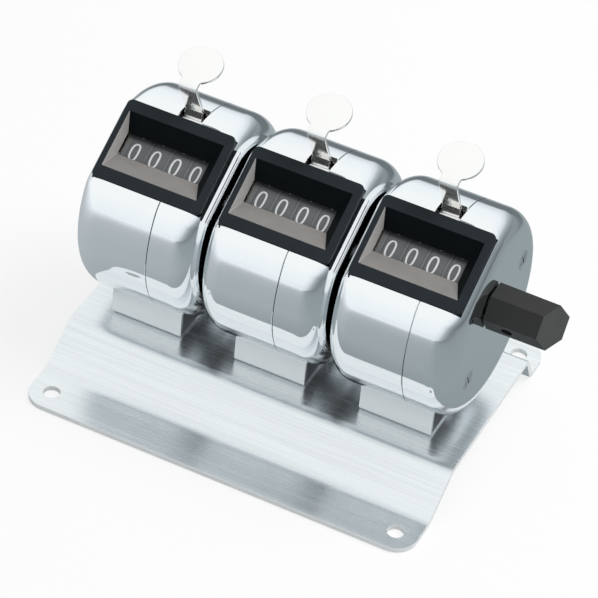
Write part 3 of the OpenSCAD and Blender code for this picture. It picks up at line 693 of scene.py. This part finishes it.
# %% Turned profiles
WHEEL_HALF, CHAMFER = 2.075, 0.12
RIM_INSIDE, WEB_HALF, HUB_R, BORE_R = 8.1, 0.5, 3.4, 2.05
TEETH, TIP_R, ROOT_R, DEEP_R = 10, 7.0, 5.9, 4.8
RATCHET_X = (-2.575, -0.45)


def spun(profile, centre, count=96):
    """Carries (x, radius) points round centre: y = cy + radius cos a, z = cz + radius sin a."""
    x, r = np.asarray(profile, float).T
    a = np.linspace(0, 2 * np.pi, count, endpoint=False)[:, None]
    y, z = centre[0] + r * np.cos(a), centre[1] + r * np.sin(a)
    return np.stack(np.broadcast_arrays(x, y, z), -1)


def wheel():
    """Rim, web and hub as one closed spun profile, and the ratchet, whose last gap is deeper."""
    form = Form()
    h, c = WHEEL_HALF, CHAMFER
    half = [(h, WHEEL_R - c - 0.03), (h, RIM_INSIDE), (WEB_HALF, RIM_INSIDE), (WEB_HALF, HUB_R),
            (h, HUB_R), (h, BORE_R)]
    rim = [(-h + c, WHEEL_R), (h - c, WHEEL_R)]
    profile = rim + half + [(-v, r) for v, r in reversed(half)]
    form.grid(spun(profile, AXIS), True, True)
    a = np.radians(360 / TEETH * np.arange(TEETH)[:, None] + [0, 3, 9]).ravel() + math.pi
    r = np.tile([TIP_R, ROOT_R, ROOT_R], TEETH)
    r[-2:] = DEEP_R
    teeth = np.stack([np.zeros(len(a)), AXIS[0] + r * np.cos(a), AXIS[1] - r * np.sin(a)], -1)
    form.bar(np.stack([teeth + [x, 0, 0] for x in RATCHET_X]))
    return form


print("teeth of a ratchet:", TEETH, "width of a wheel:", 2 * WHEEL_HALF)

# %% [markdown]
# ## Numerals
# Each numeral is drawn with a pen of even width, as the real ones are: a path in the plane, and
# a narrow ribbon along it, wrapped round the rim. The ribbon stands 0.03 mm proud, like ink.

# %% Numeral strokes
def arc(cx, cy, rx, ry, start, end, count=16):
    """Points on an ellipse from one turn to another, in degrees."""
    a = np.radians(np.linspace(start, end, count))
    return np.stack([cx + rx * np.cos(a), cy + ry * np.sin(a)], -1)


def oval(cx, cy, rx, ry, count=40):
    """A slightly squared oval: cosine and sine raised to the power 0.8."""
    a = np.linspace(0, 2 * np.pi, count, endpoint=False)
    c, s = np.cos(a), np.sin(a)
    return np.stack([cx + rx * np.sign(c) * np.abs(c) ** 0.8, cy + ry * np.sign(s) * np.abs(s) ** 0.8], -1)


def joined(*parts):
    """Points and arcs put end to end as one path."""
    return np.concatenate([np.asarray(p, float).reshape(-1, 2) for p in parts])


# Half the width and height of a numeral, half the pen's width, and how far the ink stands out.
W, H, PEN, INK = 0.84, 1.94, 0.21, 0.03
NUMERAL_X, NUMERAL_TURN = -0.45, 3.05
NUMERALS = [
    [(oval(0, 0, W, H), True)],
    [(joined([(-0.5, 1.3), (0.05, H), (0.05, 0), (0.05, -H)]), False)],
    [(joined(arc(0, H - W, W, W, 170, -35), [(0.2, -0.55), (-W, -H), (0, -H), (W, -H)]), False)],
    [(joined(arc(-0.05, 1.04, 0.8, 0.9, 155, -90), arc(-0.05, -0.9, 0.89, 1.04, 90, -155)), False)],
    [(joined([(W, -0.85), (-W, -0.85), (0.4, H), (0.4, 0), (0.4, -H)]), False)],
    [(joined([(0.7, H), (-0.6, H), (-0.7, 0.25)], arc(-0.02, -0.75, 0.88, 1.19, 125, -155)), False)],
    [(oval(0, -0.85, W, 1.09), True), (arc(0.55, -0.6, 1.39, 2.5, 180, 105), False)],
    [(joined([(-W, H), (W, H), (0.1, 0), (-0.35, -H)]), False)],
    [(oval(0, 0.98, 0.74, 0.96), True), (oval(0, -0.95, W, 0.99), True)],
    [(oval(0, 0.85, W, 1.09), True), (arc(-0.55, 0.6, 1.39, 2.5, 0, -75), False)],
]


def ribbon(path, closed, turn):
    """A pen stroke on the rim: the path's normals give its two edges, at two radii each.

    A height on the paper becomes a turn about the shaft: turn + height / radius of the wheel."""
    if closed:
        along = np.roll(path, -1, 0) - np.roll(path, 1, 0)
    else:
        along = np.gradient(path, axis=0)
    along /= np.linalg.norm(along, axis=1)[:, None]
    across = np.stack([-along[:, 1], along[:, 0]], -1) * PEN
    edges = np.stack([path + across, path + across, path - across, path - across], 1)
    radius = WHEEL_R + INK * np.array([-1, 1, 1, -1])
    psi = turn + edges[..., 1] / WHEEL_R
    return from_window(edges[..., 0], radius * np.sin(psi), WHEEL_N + radius * np.cos(psi))


def numerals():
    """Ten numerals round one rim, a little left of its middle; 0 faces the window."""
    form = Form()
    for value, strokes in enumerate(NUMERALS):
        for path, closed in strokes:
            turn = math.radians(NUMERAL_TURN - 36 * value)
            grid = ribbon(path + [NUMERAL_X, 0], closed, turn)
            form.grid(grid, closed, True)
            if not closed:
                form.add(grid[[0, -1]], [[0, 1, 2, 3], [4, 5, 6, 7]])
    return form


print("numeral height in mm:", round(2 * (H + PEN), 2), "strokes:", sum(map(len, NUMERALS)))

# %% [markdown]
# ## The window combs
# Between the wheels stand four thin fins of one grey moulding, level with the rims, so that no
# gap shows. A fin is a stretch of a ring with a thickness. A bar below joins all four; it runs
# outside the rims, so that the wheels turn freely.

# %% Combs
FIRST_GAP, WHEEL_STEP, FIN_T = -9.47, 4.83, 0.66
FIN_R, FIN_TURNS, BAR_TURNS = 7.6, (-44, 40), (-50, -44)


def ring_stretch(form, ends, radii, turns):
    """An arc out along the larger radius and back along the smaller, from one x to the other.

    Turns are in degrees from the window's normal: s = r sin t, n = r cos t from the shaft."""
    t = np.radians(np.linspace(*turns, 40))
    t, r = np.append(t, t[::-1]), np.repeat(radii[::-1], 40)
    form.bar(np.stack([from_window(x, r * np.sin(t), WHEEL_N + r * np.cos(t)) for x in ends]))


def window_comb(left, right):
    """Four fins and their bar; left and right are the frame plates that hold it."""
    form = Form()
    for k in range(4):
        gap = FIRST_GAP + k * WHEEL_STEP
        ends = (left if k == 0 else gap - FIN_T / 2, gap + FIN_T / 2)
        ring_stretch(form, ends, (FIN_R, WHEEL_R - 0.02), FIN_TURNS)
        ring_stretch(form, ends, (FIN_R, WHEEL_R + 0.2), BAR_TURNS)
    ring_stretch(form, (left, right), (WHEEL_R + 0.12, WHEEL_R + 1.1), BAR_TURNS)
    return form


for name, x in COUNTERS.items():
    low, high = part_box(name + "_window_comb")
    comb_form = window_comb(low[0] / MM - x, high[0] / MM - x)
    piece(name + "_fins", shifted(comb_form, x), "root", [comb_grey],
          [name + "_window_comb"])

# %% Twelve wheels
ROW_SHIFT = 0.19
wheel_form, numeral_form = wheel(), numerals()
for name, x in COUNTERS.items():
    for k, decade in enumerate(("thousands", "hundreds", "tens", "units")):
        place = x + ROW_SHIFT + (k - 1.5) * WHEEL_STEP
        node = f"{name}_wheel_{decade}"
        drum, ink = shifted(wheel_form, place), shifted(numeral_form, place)
        piece(f"{name}_{decade}_drum", drum, node, [wheel_grey], [node])
        piece(f"{name}_{decade}_numerals", ink, node, [numeral_ink])

# %% [markdown]
# ## Bent strips
# Base and lever are flat sheet bent in a press. The middle line is a list of corners with a bend
# radius, and each corner becomes an arc. Offsetting the line both ways gives the two faces.

# %% Bent line
def bent_line(corners, radius, steps=6):
    """Points and left normals of a line whose corners are arcs: point = centre - radius * normal.

    radius is one number, or one for each corner."""
    corners = np.asarray(corners, float)
    legs = np.diff(corners, axis=0)
    legs /= np.linalg.norm(legs, axis=1)[:, None]
    lefts = legs[:, ::-1] * [-1, 1]
    points, normals = [corners[:1]], [lefts[:1]]
    radii = np.broadcast_to(radius, len(corners) - 2)
    for spot, a, b, left, radius in zip(corners[1:-1], legs[:-1], legs[1:], lefts, radii):
        turn = math.atan2(a[0] * b[1] - a[1] * b[0], a @ b)
        side = radius * np.sign(turn)
        centre = spot - a * radius * math.tan(abs(turn) / 2) + left * side
        t = turn * np.linspace(0, 1, steps + 1)[:, None]
        normal = left * np.cos(t) - a * np.sin(t)
        points.append(centre - normal * side)
        normals.append(normal)
    points.append(corners[-1:])
    normals.append(lefts[-1:])
    return np.concatenate(points), np.concatenate(normals)

# %% [markdown]
# ## The base plate
# One sheet with four bends. The raised middle is a strip carried along the bent line. The two
# flat ends have round corners and screw holes, so they are plan outlines with holes. The cut
# edges carry a mark of their own, for their duller finish. All edges then get the small radius
# that deburring leaves.

# %% Base plate
PLATE_X, PLATE_Y, PLATE_T = 46.1, 37.2, 1.2
ROUND_R, HOLE_R = 5, 1.85
LOW, RAISED = PLATE_T / 2, 7.4
PROFILE = [(-PLATE_Y, LOW), (-PLATE_Y + 11.2, LOW), (-PLATE_Y + 21.6, RAISED),
           (PLATE_Y - 13.1, RAISED), (PLATE_Y - 9.7, LOW), (PLATE_Y, LOW)]
BEND_RADII = [8, 5, 2.1, 2.1]
CUT = 1


def lifted(points, z):
    """Plan points (x, y) lifted to the height z."""
    return np.c_[points, np.full(len(points), z)]


def flat_end(form, end, y0):
    """A flat strip from y0 to the plate's edge, with two round corners and two screw holes."""
    a = np.radians(np.linspace(0, 90, 13))
    b = np.linspace(0, 2 * np.pi, 48, endpoint=False)
    hole_x, hole_y = PLATE_X - ROUND_R, PLATE_Y - ROUND_R
    corner = np.stack([hole_x + ROUND_R * np.cos(a), hole_y + ROUND_R * np.sin(a)], -1)
    half = np.concatenate([[[PLATE_X, abs(y0)]], corner])
    loop = np.concatenate([half, half[::-1] * [-1, 1]]) * [1, end]
    ring = HOLE_R * np.stack([np.cos(b), np.sin(b)], -1)
    holes = [ring + [side * hole_x, end * hole_y] for side in (-1, 1)]
    for z in (0, PLATE_T):
        form.flat([lifted(line, z) for line in [loop] + holes])
    for line, closed in ((loop, False), (holes[0], True), (holes[1], True)):
        form.grid(np.stack([lifted(line, 0), lifted(line, PLATE_T)], 1), closed, mark=CUT)


def base_plate():
    """Middle as a grid between two faces, each half the thickness from the bent line; then the ends."""
    form = Form()
    line, normal = bent_line(PROFILE, BEND_RADII, 12)
    line, normal = line[1:-1], normal[1:-1]
    faces = []
    for side in (0.5, -0.5):
        p = line + normal * PLATE_T * side
        faces.append(np.stack([np.c_[np.full(len(p), x), p] for x in (-PLATE_X, PLATE_X)], 1))
        form.grid(faces[-1])
    for k in (0, 1):
        form.grid(np.stack([faces[0][:, k], faces[1][:, k]], 1), mark=CUT)
    flat_end(form, -1, line[0, 0])
    flat_end(form, 1, line[-1, 0])
    return form


piece("bent_base", base_plate(), "root", [base_steel, cut_steel], ["base_plate"], bevel=0.12)

# %% [markdown]
# ## The thumb lever
# The lever is cut from sheet as a strip with a round pad, then bent: up from the hinge, over a
# small roll, and the pad rises gently to the back. So it is modelled the way it is made. First
# the outline of the flat blank, then a rounded section at each of its rows, and last the bend,
# which only swaps the distance along the blank for a point and a normal on the bent line.

# %% Flat blank
HINGE = (3.8, 55.3)
FALL = math.radians(19.1)
STRIP_X, STRIP_W, LEVER_T = 0.85, 4.2, 0.8
STRIP_START, FIRST_BEND = (4.7, 55.3), (5.3, 58.4)
ROLL, ROLL_R, PAD_RISE = (1.0, 67.1), 1.0, math.radians(17)
PAD_R, PAD_LEAD, NECK_R = 4.85, 1.3, 0.6


def blank(rows, pad, inset):
    """Half outline (x, u), moved inwards by inset: straight edge, concave neck, circle about pad."""
    half = STRIP_W / 2
    lean = math.asin((half + NECK_R) / (PAD_R + NECK_R))
    neck_u = pad - (PAD_R + NECK_R) * math.cos(lean)
    rows = np.append(rows[rows < neck_u - 0.05], neck_u)
    a = np.linspace(0, math.pi / 2 - lean, 6)[1:]
    b = np.linspace(lean, math.pi, 40)[1:]
    neck_r, pad_r = NECK_R + inset, PAD_R - inset
    edge = np.stack([np.full(len(rows), half - inset), rows], -1)
    neck = np.stack([half + NECK_R - neck_r * np.cos(a), neck_u + neck_r * np.sin(a)], -1)
    rim = np.stack([pad_r * np.sin(b), pad - pad_r * np.cos(b)], -1)
    return np.concatenate([edge, neck, rim])


def pressed_sheet(form, corners, edge=0.2):
    """A section with round edges at every row of the blank, carried along the bent line."""
    line, normal = bent_line(corners, ROLL_R, 10)
    run = np.append(0, np.cumsum(np.linalg.norm(np.diff(line, axis=0), axis=1)))
    a = np.radians(np.linspace(0, 90, 5))
    level = np.stack([edge * (1 - np.sin(a)), LEVER_T / 2 - edge * (1 - np.cos(a))], -1)
    level = np.concatenate([level, level[::-1] * [1, -1]])
    right = np.stack([blank(run, run[-1] - PAD_R, inset) for inset, height in level], 1)
    height = np.broadcast_to(level[:, 1], right.shape[:2])
    ring = np.concatenate([right, right[:, ::-1] * [-1, 1]], 1)
    height = np.concatenate([height, height[:, ::-1]], 1)
    x, u = ring[..., 0], ring[..., 1]
    y, z = [np.interp(u, run, line[:, k]) + height * np.interp(u, run, normal[:, k]) for k in (0, 1)]
    points = np.stack([STRIP_X + x, y, z], -1)
    form.grid(points, False, True)
    form.flat([points[0]])

# %% Lever
# The first arm carries the pawl comb, the second one presses the return spring. An arm is the
# place of its middle, its width and its reach from the hinge.
ARM_START, ARM_EDGE = 1.1, 0.22
ARMS = ((STRIP_X, STRIP_W, 8.25), (9.3, 3.3, 9.65))
BARREL = [(-1.25, 0.85), (-1.25, 1.15), (-1.1, 1.3), (10.8, 1.3), (10.95, 1.15), (10.95, 0.85)]


def arm(form, x, width, reach):
    """A straight strip with round edges, from the barrel to reach, that falls by FALL."""
    along = np.array([math.cos(FALL), -math.sin(FALL)])
    across = np.array([-along[1], along[0]])
    ring = rounded_rectangle(0, 0, width, LEVER_T, ARM_EDGE, 0, 3)
    ends = [HINGE + along * distance for distance in (ARM_START, reach)]
    form.bar(np.stack([np.c_[x + ring[:, 0], end + across * ring[:, 1:2]] for end in ends]))


def lever():
    """Strip with its pad, hinge barrel and the two inner arms."""
    form = Form()
    reach = PAD_LEAD + 2 * PAD_R
    tip = (ROLL[0] + reach * math.cos(PAD_RISE), ROLL[1] + reach * math.sin(PAD_RISE))
    pressed_sheet(form, [STRIP_START, FIRST_BEND, ROLL, tip])
    form.grid(spun(BARREL, HINGE, 40), True, True)
    for x, width, length in ARMS:
        arm(form, x, width, length)
    return form


lever_form = lever()
for name, x in COUNTERS.items():
    piece(name + "_thumb_lever", shifted(lever_form, x), name + "_lever", [lever_chrome],
          [name + "_lever"], sharp=50)

# %% [markdown]
# ## Case screws and shaft
# The right side of each case shows two flush screw heads with a cross recess. The head's face is
# an outline with a cross cut out of it, and the recess is the same cross carried inwards.

# %% Screws and shaft
HEAD_X, HEAD_R, HEAD_DEPTH = SIDE_X - 0.02, 2.2, 0.9
SHANK_R, SHANK_END, SHANK_EDGE = 1.3, -13.5, 0.2
CROSS_HALF, CROSS_REACH, CROSS_DEPTH, CROSS_TURN = 0.16, 1.5, 0.6, 0.5
SHAFT_OUT, SHAFT_R, SHAFT_EDGE = 9.5, 2.0, 0.3


def case_screw(centre):
    """Countersunk head with a cross recess, and its shank."""
    form = Form()
    profile = [(HEAD_X, HEAD_R), (HEAD_X - HEAD_DEPTH, SHANK_R), (SHANK_END + SHANK_EDGE, SHANK_R),
               (SHANK_END, SHANK_R - SHANK_EDGE), (SHANK_END, 0)]
    side = spun(profile, centre, 48)
    form.grid(side, True)
    b, l = CROSS_HALF, CROSS_REACH
    cross = np.array([(b, b), (b, l), (-b, l), (-b, b), (-l, b), (-l, -b),
                      (-b, -b), (-b, -l), (b, -l), (b, -b), (l, -b), (l, b)])
    c, s = math.cos(CROSS_TURN), math.sin(CROSS_TURN)
    cross = cross @ np.array([[c, s], [-s, c]]) + centre
    mouth, floor = [np.c_[np.full(len(cross), x), cross] for x in (HEAD_X, HEAD_X - CROSS_DEPTH)]
    form.flat([side[:, 0], mouth])
    form.grid(np.stack([mouth, floor]), False, True)
    form.flat([floor])
    return form


screws = Form()
for x in COUNTERS.values():
    for s, n in SCREWS:
        screws.join(shifted(case_screw(from_window(0, s, n)[1:]), x))
piece("case_screw_set", screws, "root", [screw_steel], ["case_screws"])

shaft = Form()
first, last = COUNTERS["left"] - SIDE_X, COUNTERS["right"] + SIDE_X + SHAFT_OUT
inner, outer = SHAFT_R - SHAFT_EDGE, SHAFT_R
shaft.grid(spun([(first, 0), (first, inner), (first + SHAFT_EDGE, outer),
                 (last - SHAFT_EDGE, outer), (last, inner), (last, 0)], AXIS, 48), True)
piece("zeroing_shaft", shaft, "reset", [shaft_steel], ["reset_shaft"])

# %% [markdown]
# ## The knob
# A six-sided bar of black plastic, a little slimmer towards its end, which was cut off askew. It
# is six flats between two planes. One flat has the blind hole for the set screw.

# %% Knob
KNOB_X, KNOB_LEN, KNOB_FLATS = SIDE_X + 0.3, 13.5, (8.9, 8.75)
END_TURN, END_TIP = math.radians(18.4), math.radians(9)
SCREW_TURN, SCREW_PLACE, SCREW_HOLE_R, SCREW_DEPTH = 210, 5.0, 1.27, 1.0
END_MARK = 1


def flat_with_hole(form, side, axis):
    """One flat with a blind hole: its floor is a ring, carried outwards until it meets the flat."""
    normal = np.cross(side[1] - side[0], side[3] - side[0])
    turn = math.radians(SCREW_TURN)
    up = np.array([0, math.cos(turn), math.sin(turn)])
    spot = axis + np.array([SCREW_PLACE, 0, 0])
    spot = spot + up * ((side[0] - spot) @ normal) / (up @ normal)
    t = np.linspace(0, 2 * np.pi, 32, endpoint=False)[:, None]
    circle_x, circle_y = np.cos(t) * [1, 0, 0], np.sin(t) * np.cross(up, [1, 0, 0])
    floor = spot - SCREW_DEPTH * up + SCREW_HOLE_R * (circle_x + circle_y)
    mouth = floor + up * (((side[0] - floor) @ normal) / (up @ normal))[:, None]
    form.flat([side, mouth])
    form.grid(np.stack([mouth, floor]), False, True)
    form.flat([floor])


def knob():
    """Corner lines of a hexagonal taper, cut by the plane of the end, which is turned and tipped."""
    form = Form()
    across = np.array([math.cos(END_TIP) * math.cos(END_TURN),
                       -math.cos(END_TIP) * math.sin(END_TURN), math.sin(END_TIP)])
    a = np.radians(60 * np.arange(6))
    ray = np.stack([np.zeros(6), np.cos(a), np.sin(a)], -1)
    first, last = [f / math.sqrt(3) for f in KNOB_FLATS]
    slope = (last - first) / KNOB_LEN
    start = ray * first
    run = (across[0] * KNOB_LEN - start @ across) / (across[0] + slope * (ray @ across))
    end = start + run[:, None] * (ray * slope + np.array([1, 0, 0]))
    axis = np.array([COUNTERS["right"] + KNOB_X, *AXIS])
    start, end = start + axis, end + axis
    for k in range(6):
        after = (k + 1) % 6
        side = [start[k], end[k], end[after], start[after]]
        if k == SCREW_TURN // 60:
            flat_with_hole(form, side, axis)
        else:
            form.add(side, [[0, 1, 2, 3]])
    form.flat([start])
    form.flat([end], END_MARK)
    return form


piece("zeroing_knob", knob(), "reset", [knob_black, knob_cut], ["reset_knob"], bevel=0.2)

# %% [markdown]
# ## Nodes that keep their CAD shape
# The feet have flat faces, so their solids are right as they are. Their loose triangles are
# welded, flat areas are joined again, and the edges get a small radius. The parts inside the
# cases only need a finish.

# %% Kept nodes
WELD_WITHIN, FLAT_WITHIN = 2e-6, math.radians(1.5)


def dressed(node, finish, edge_mm=0.0):
    """Gives a CAD node its finish and, where edge_mm is given, round edges."""
    made = nodes[node]
    made.data.materials.clear()
    made.data.materials.append(finish)
    if edge_mm:
        weld = made.modifiers.new("weld", "WELD")
        weld.merge_threshold = WELD_WITHIN
        join = made.modifiers.new("flats", "DECIMATE")
        join.decimate_type, join.angle_limit = "DISSOLVE", FLAT_WITHIN
        soften(made, edge_mm)


ONCE = {"knob_set_screw": knob_black, "lever_pins": pin_steel, "foot_screws": screw_steel}
INSIDE = {"mechanism_frame": frame_steel, "check_spring": spring_steel,
          "return_spring": spring_steel, "pawl_comb": pawl_steel, "pawl_pin": pin_steel}
for node, finish in ONCE.items():
    dressed(node, finish)
for name in COUNTERS:
    dressed(name + "_foot_bracket", foot_steel, 0.12)
    for part, finish in INSIDE.items():
        dressed(f"{name}_{part}", finish)
print("CAD nodes that keep their shape:", len(ONCE) + len(COUNTERS) * (1 + len(INSIDE)))

# %% [markdown]
# ## Table and light
# The object stood on a white sweep. The camera sees that as white. The chrome sees more: a
# bright tent above, and the floor below the horizon. The floor's shader keeps the two apart with
# the Light Path node. For mirrors the floor has painted light and shade: it is painted darker and
# bluer the steeper the mirror looks down on it, near the object, and a painted fall of light
# makes it bright on the left, darker on the right and behind, which gives the metal its form.

# %% Floor
MIRROR_HEIGHT, SPAN_X, SPAN_Y = 0.035, 1.2, 0.5
FLOOR_HALF, FLOOR_Z = 4000, -0.15


def sweep():
    """White for the camera, painted light and shade for mirrors, plain for all other light.

    steep = arctan(height of a mirror / distance) / 90 degrees, and across goes from 0 on the
    left to 1 on the right."""
    f = Finish("white_sweep")
    spot = f.place()
    x, y = [f.node("SeparateXYZ", {0: spot}, out) for out in (0, 1)]
    reach = f.node("VectorMath", {0: spot}, 1, operation="LENGTH")
    steep = f.node("Math", {0: MIRROR_HEIGHT, 1: reach}, operation="ARCTAN2")
    across = x / SPAN_X + 0.5
    # Painted light and shade for mirrors: paper is a painted fall of light across the floor, shade is painted
    # shade near the object, and the ramp behind paints the floor behind the object darker.
    paper = f.ramp(across, [(0.0, (0.93, 0.97, 1.0)), (0.29, (0.75, 0.80, 0.85)),
                            (0.4, (0.49, 0.53, 0.56)), (0.55, (0.30, 0.35, 0.365)),
                            (1.0, (0.22, 0.25, 0.26))])
    shade = f.ramp(steep / (math.pi / 2), [(0.3, 1.0), (0.6, 0.71)])
    rear_painted_shade = f.ramp(across, [(0.2, (0.4, 0.43, 0.45)), (0.32, (0.16, 0.185, 0.195)),
                           (0.55, (0.16, 0.185, 0.195)), (0.62, (0.26, 0.30, 0.32))])
    behind = f.ramp(y / SPAN_Y, [(0.26, 0.0), (0.33, 1.0)])
    seen = f.blend(behind, f.mix("MULTIPLY", 1.0, paper, shade), rear_painted_shade)
    camera_ray, mirror_ray = f.rays("Camera", "Glossy")
    plain = f.node("BsdfDiffuse", {"Color": (0.85, 0.86, 0.87, 1)})
    shaded = f.node("Emission", {"Color": seen, "Strength": 1.0})
    white = f.node("Emission", {"Color": (1, 1, 1, 1), "Strength": 1.0})
    sheet_tone = f.node("MixShader", {0: 0.8, 1: plain, 2: white})
    other = f.node("MixShader", {0: mirror_ray, 1: plain, 2: shaded})
    both = f.node("MixShader", {0: camera_ray, 1: other, 2: sheet_tone})
    f.node("OutputMaterial", {"Surface": both})
    return f.block


table = Form()
u = np.linspace(-FLOOR_HALF, FLOOR_HALF, 9)
gx, gy = np.meshgrid(u, u, indexing="ij")
table.grid(np.stack([gx, gy, np.full(gx.shape, FLOOR_Z)], -1))
floor_mesh = bpy.data.meshes.new("floor")
floor_mesh.from_pydata((np.concatenate(table.points) * MM).tolist(), [], table.faces)
floor_mesh.materials.append(sweep())
floor = placed("floor", floor_mesh)
floor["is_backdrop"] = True
print("floor in m across:", 2 * FLOOR_HALF * MM)

# %% World and lamp
def tent():
    """Brightness by height = z - 0.52 x - 0.07 y, so the tent is brighter to the left and front.

    Strength is 1 for the camera and mirrors, and 0.5 for all other light."""
    world = bpy.data.worlds.new("tent")
    bpy.context.scene.world = world
    f = Finish("tent", world)
    camera_ray, mirror_ray, glass_ray = f.rays("Camera", "Glossy", "Transmission")
    seen = f.node("Math", {0: camera_ray, 1: mirror_ray + glass_ray}, operation="MAXIMUM")
    way = f.node("TexCoord", {})
    x, y, z = [f.node("SeparateXYZ", {0: way}, out) for out in (0, 1, 2)]
    height = z - x * 0.52 - y * 0.07
    wall = f.ramp(height * 0.8 + 0.4, [(0.0, (0.14, 0.165, 0.17)), (0.24, (0.27, 0.31, 0.33)),
                                       (0.37, (0.44, 0.49, 0.52)), (0.47, (0.72, 0.77, 0.81)),
                                       (0.62, (0.90, 0.95, 0.98)), (0.9, (0.98, 1.0, 1.0))])
    tone = f.blend(mirror_ray, (1, 1, 1), wall)
    glow = f.node("Background", {"Color": tone, "Strength": seen * 0.5 + 0.5})
    f.node("OutputWorld", {"Surface": glow})


tent()
light = bpy.data.lights.new("key", "AREA")
light.shape, light.size, light.size_y = "RECTANGLE", 0.7, 0.5
light.energy = 7.5
light.color = (1.0, 0.985, 0.96)
key = placed("key", light)
spot = Vector((0.45, 0.25, 0.86)).normalized()
key.location = spot
key.rotation_euler = spot.to_track_quat("Z", "Y").to_euler()
key.visible_glossy = False
bpy.context.scene.view_settings.view_transform = "Standard"
print("lamp power:", light.energy, "height in m:", round(key.location.z, 2))

# %% [markdown]
# ## Sizes
# Both boxes, of the CAD model and of the dressed model, are printed in millimetres. The
# dressed model may not outgrow the CAD model.

# %% Print the boxes
boxes = {"cad": [list(map(float, c)) for c in cad_box], "visual": [list(map(float, c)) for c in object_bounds()]}
sizes = [[round((b - a) / MM, 2) for a, b in zip(*box)] for box in boxes.values()]
print("CAD and visual size in mm:", sizes)
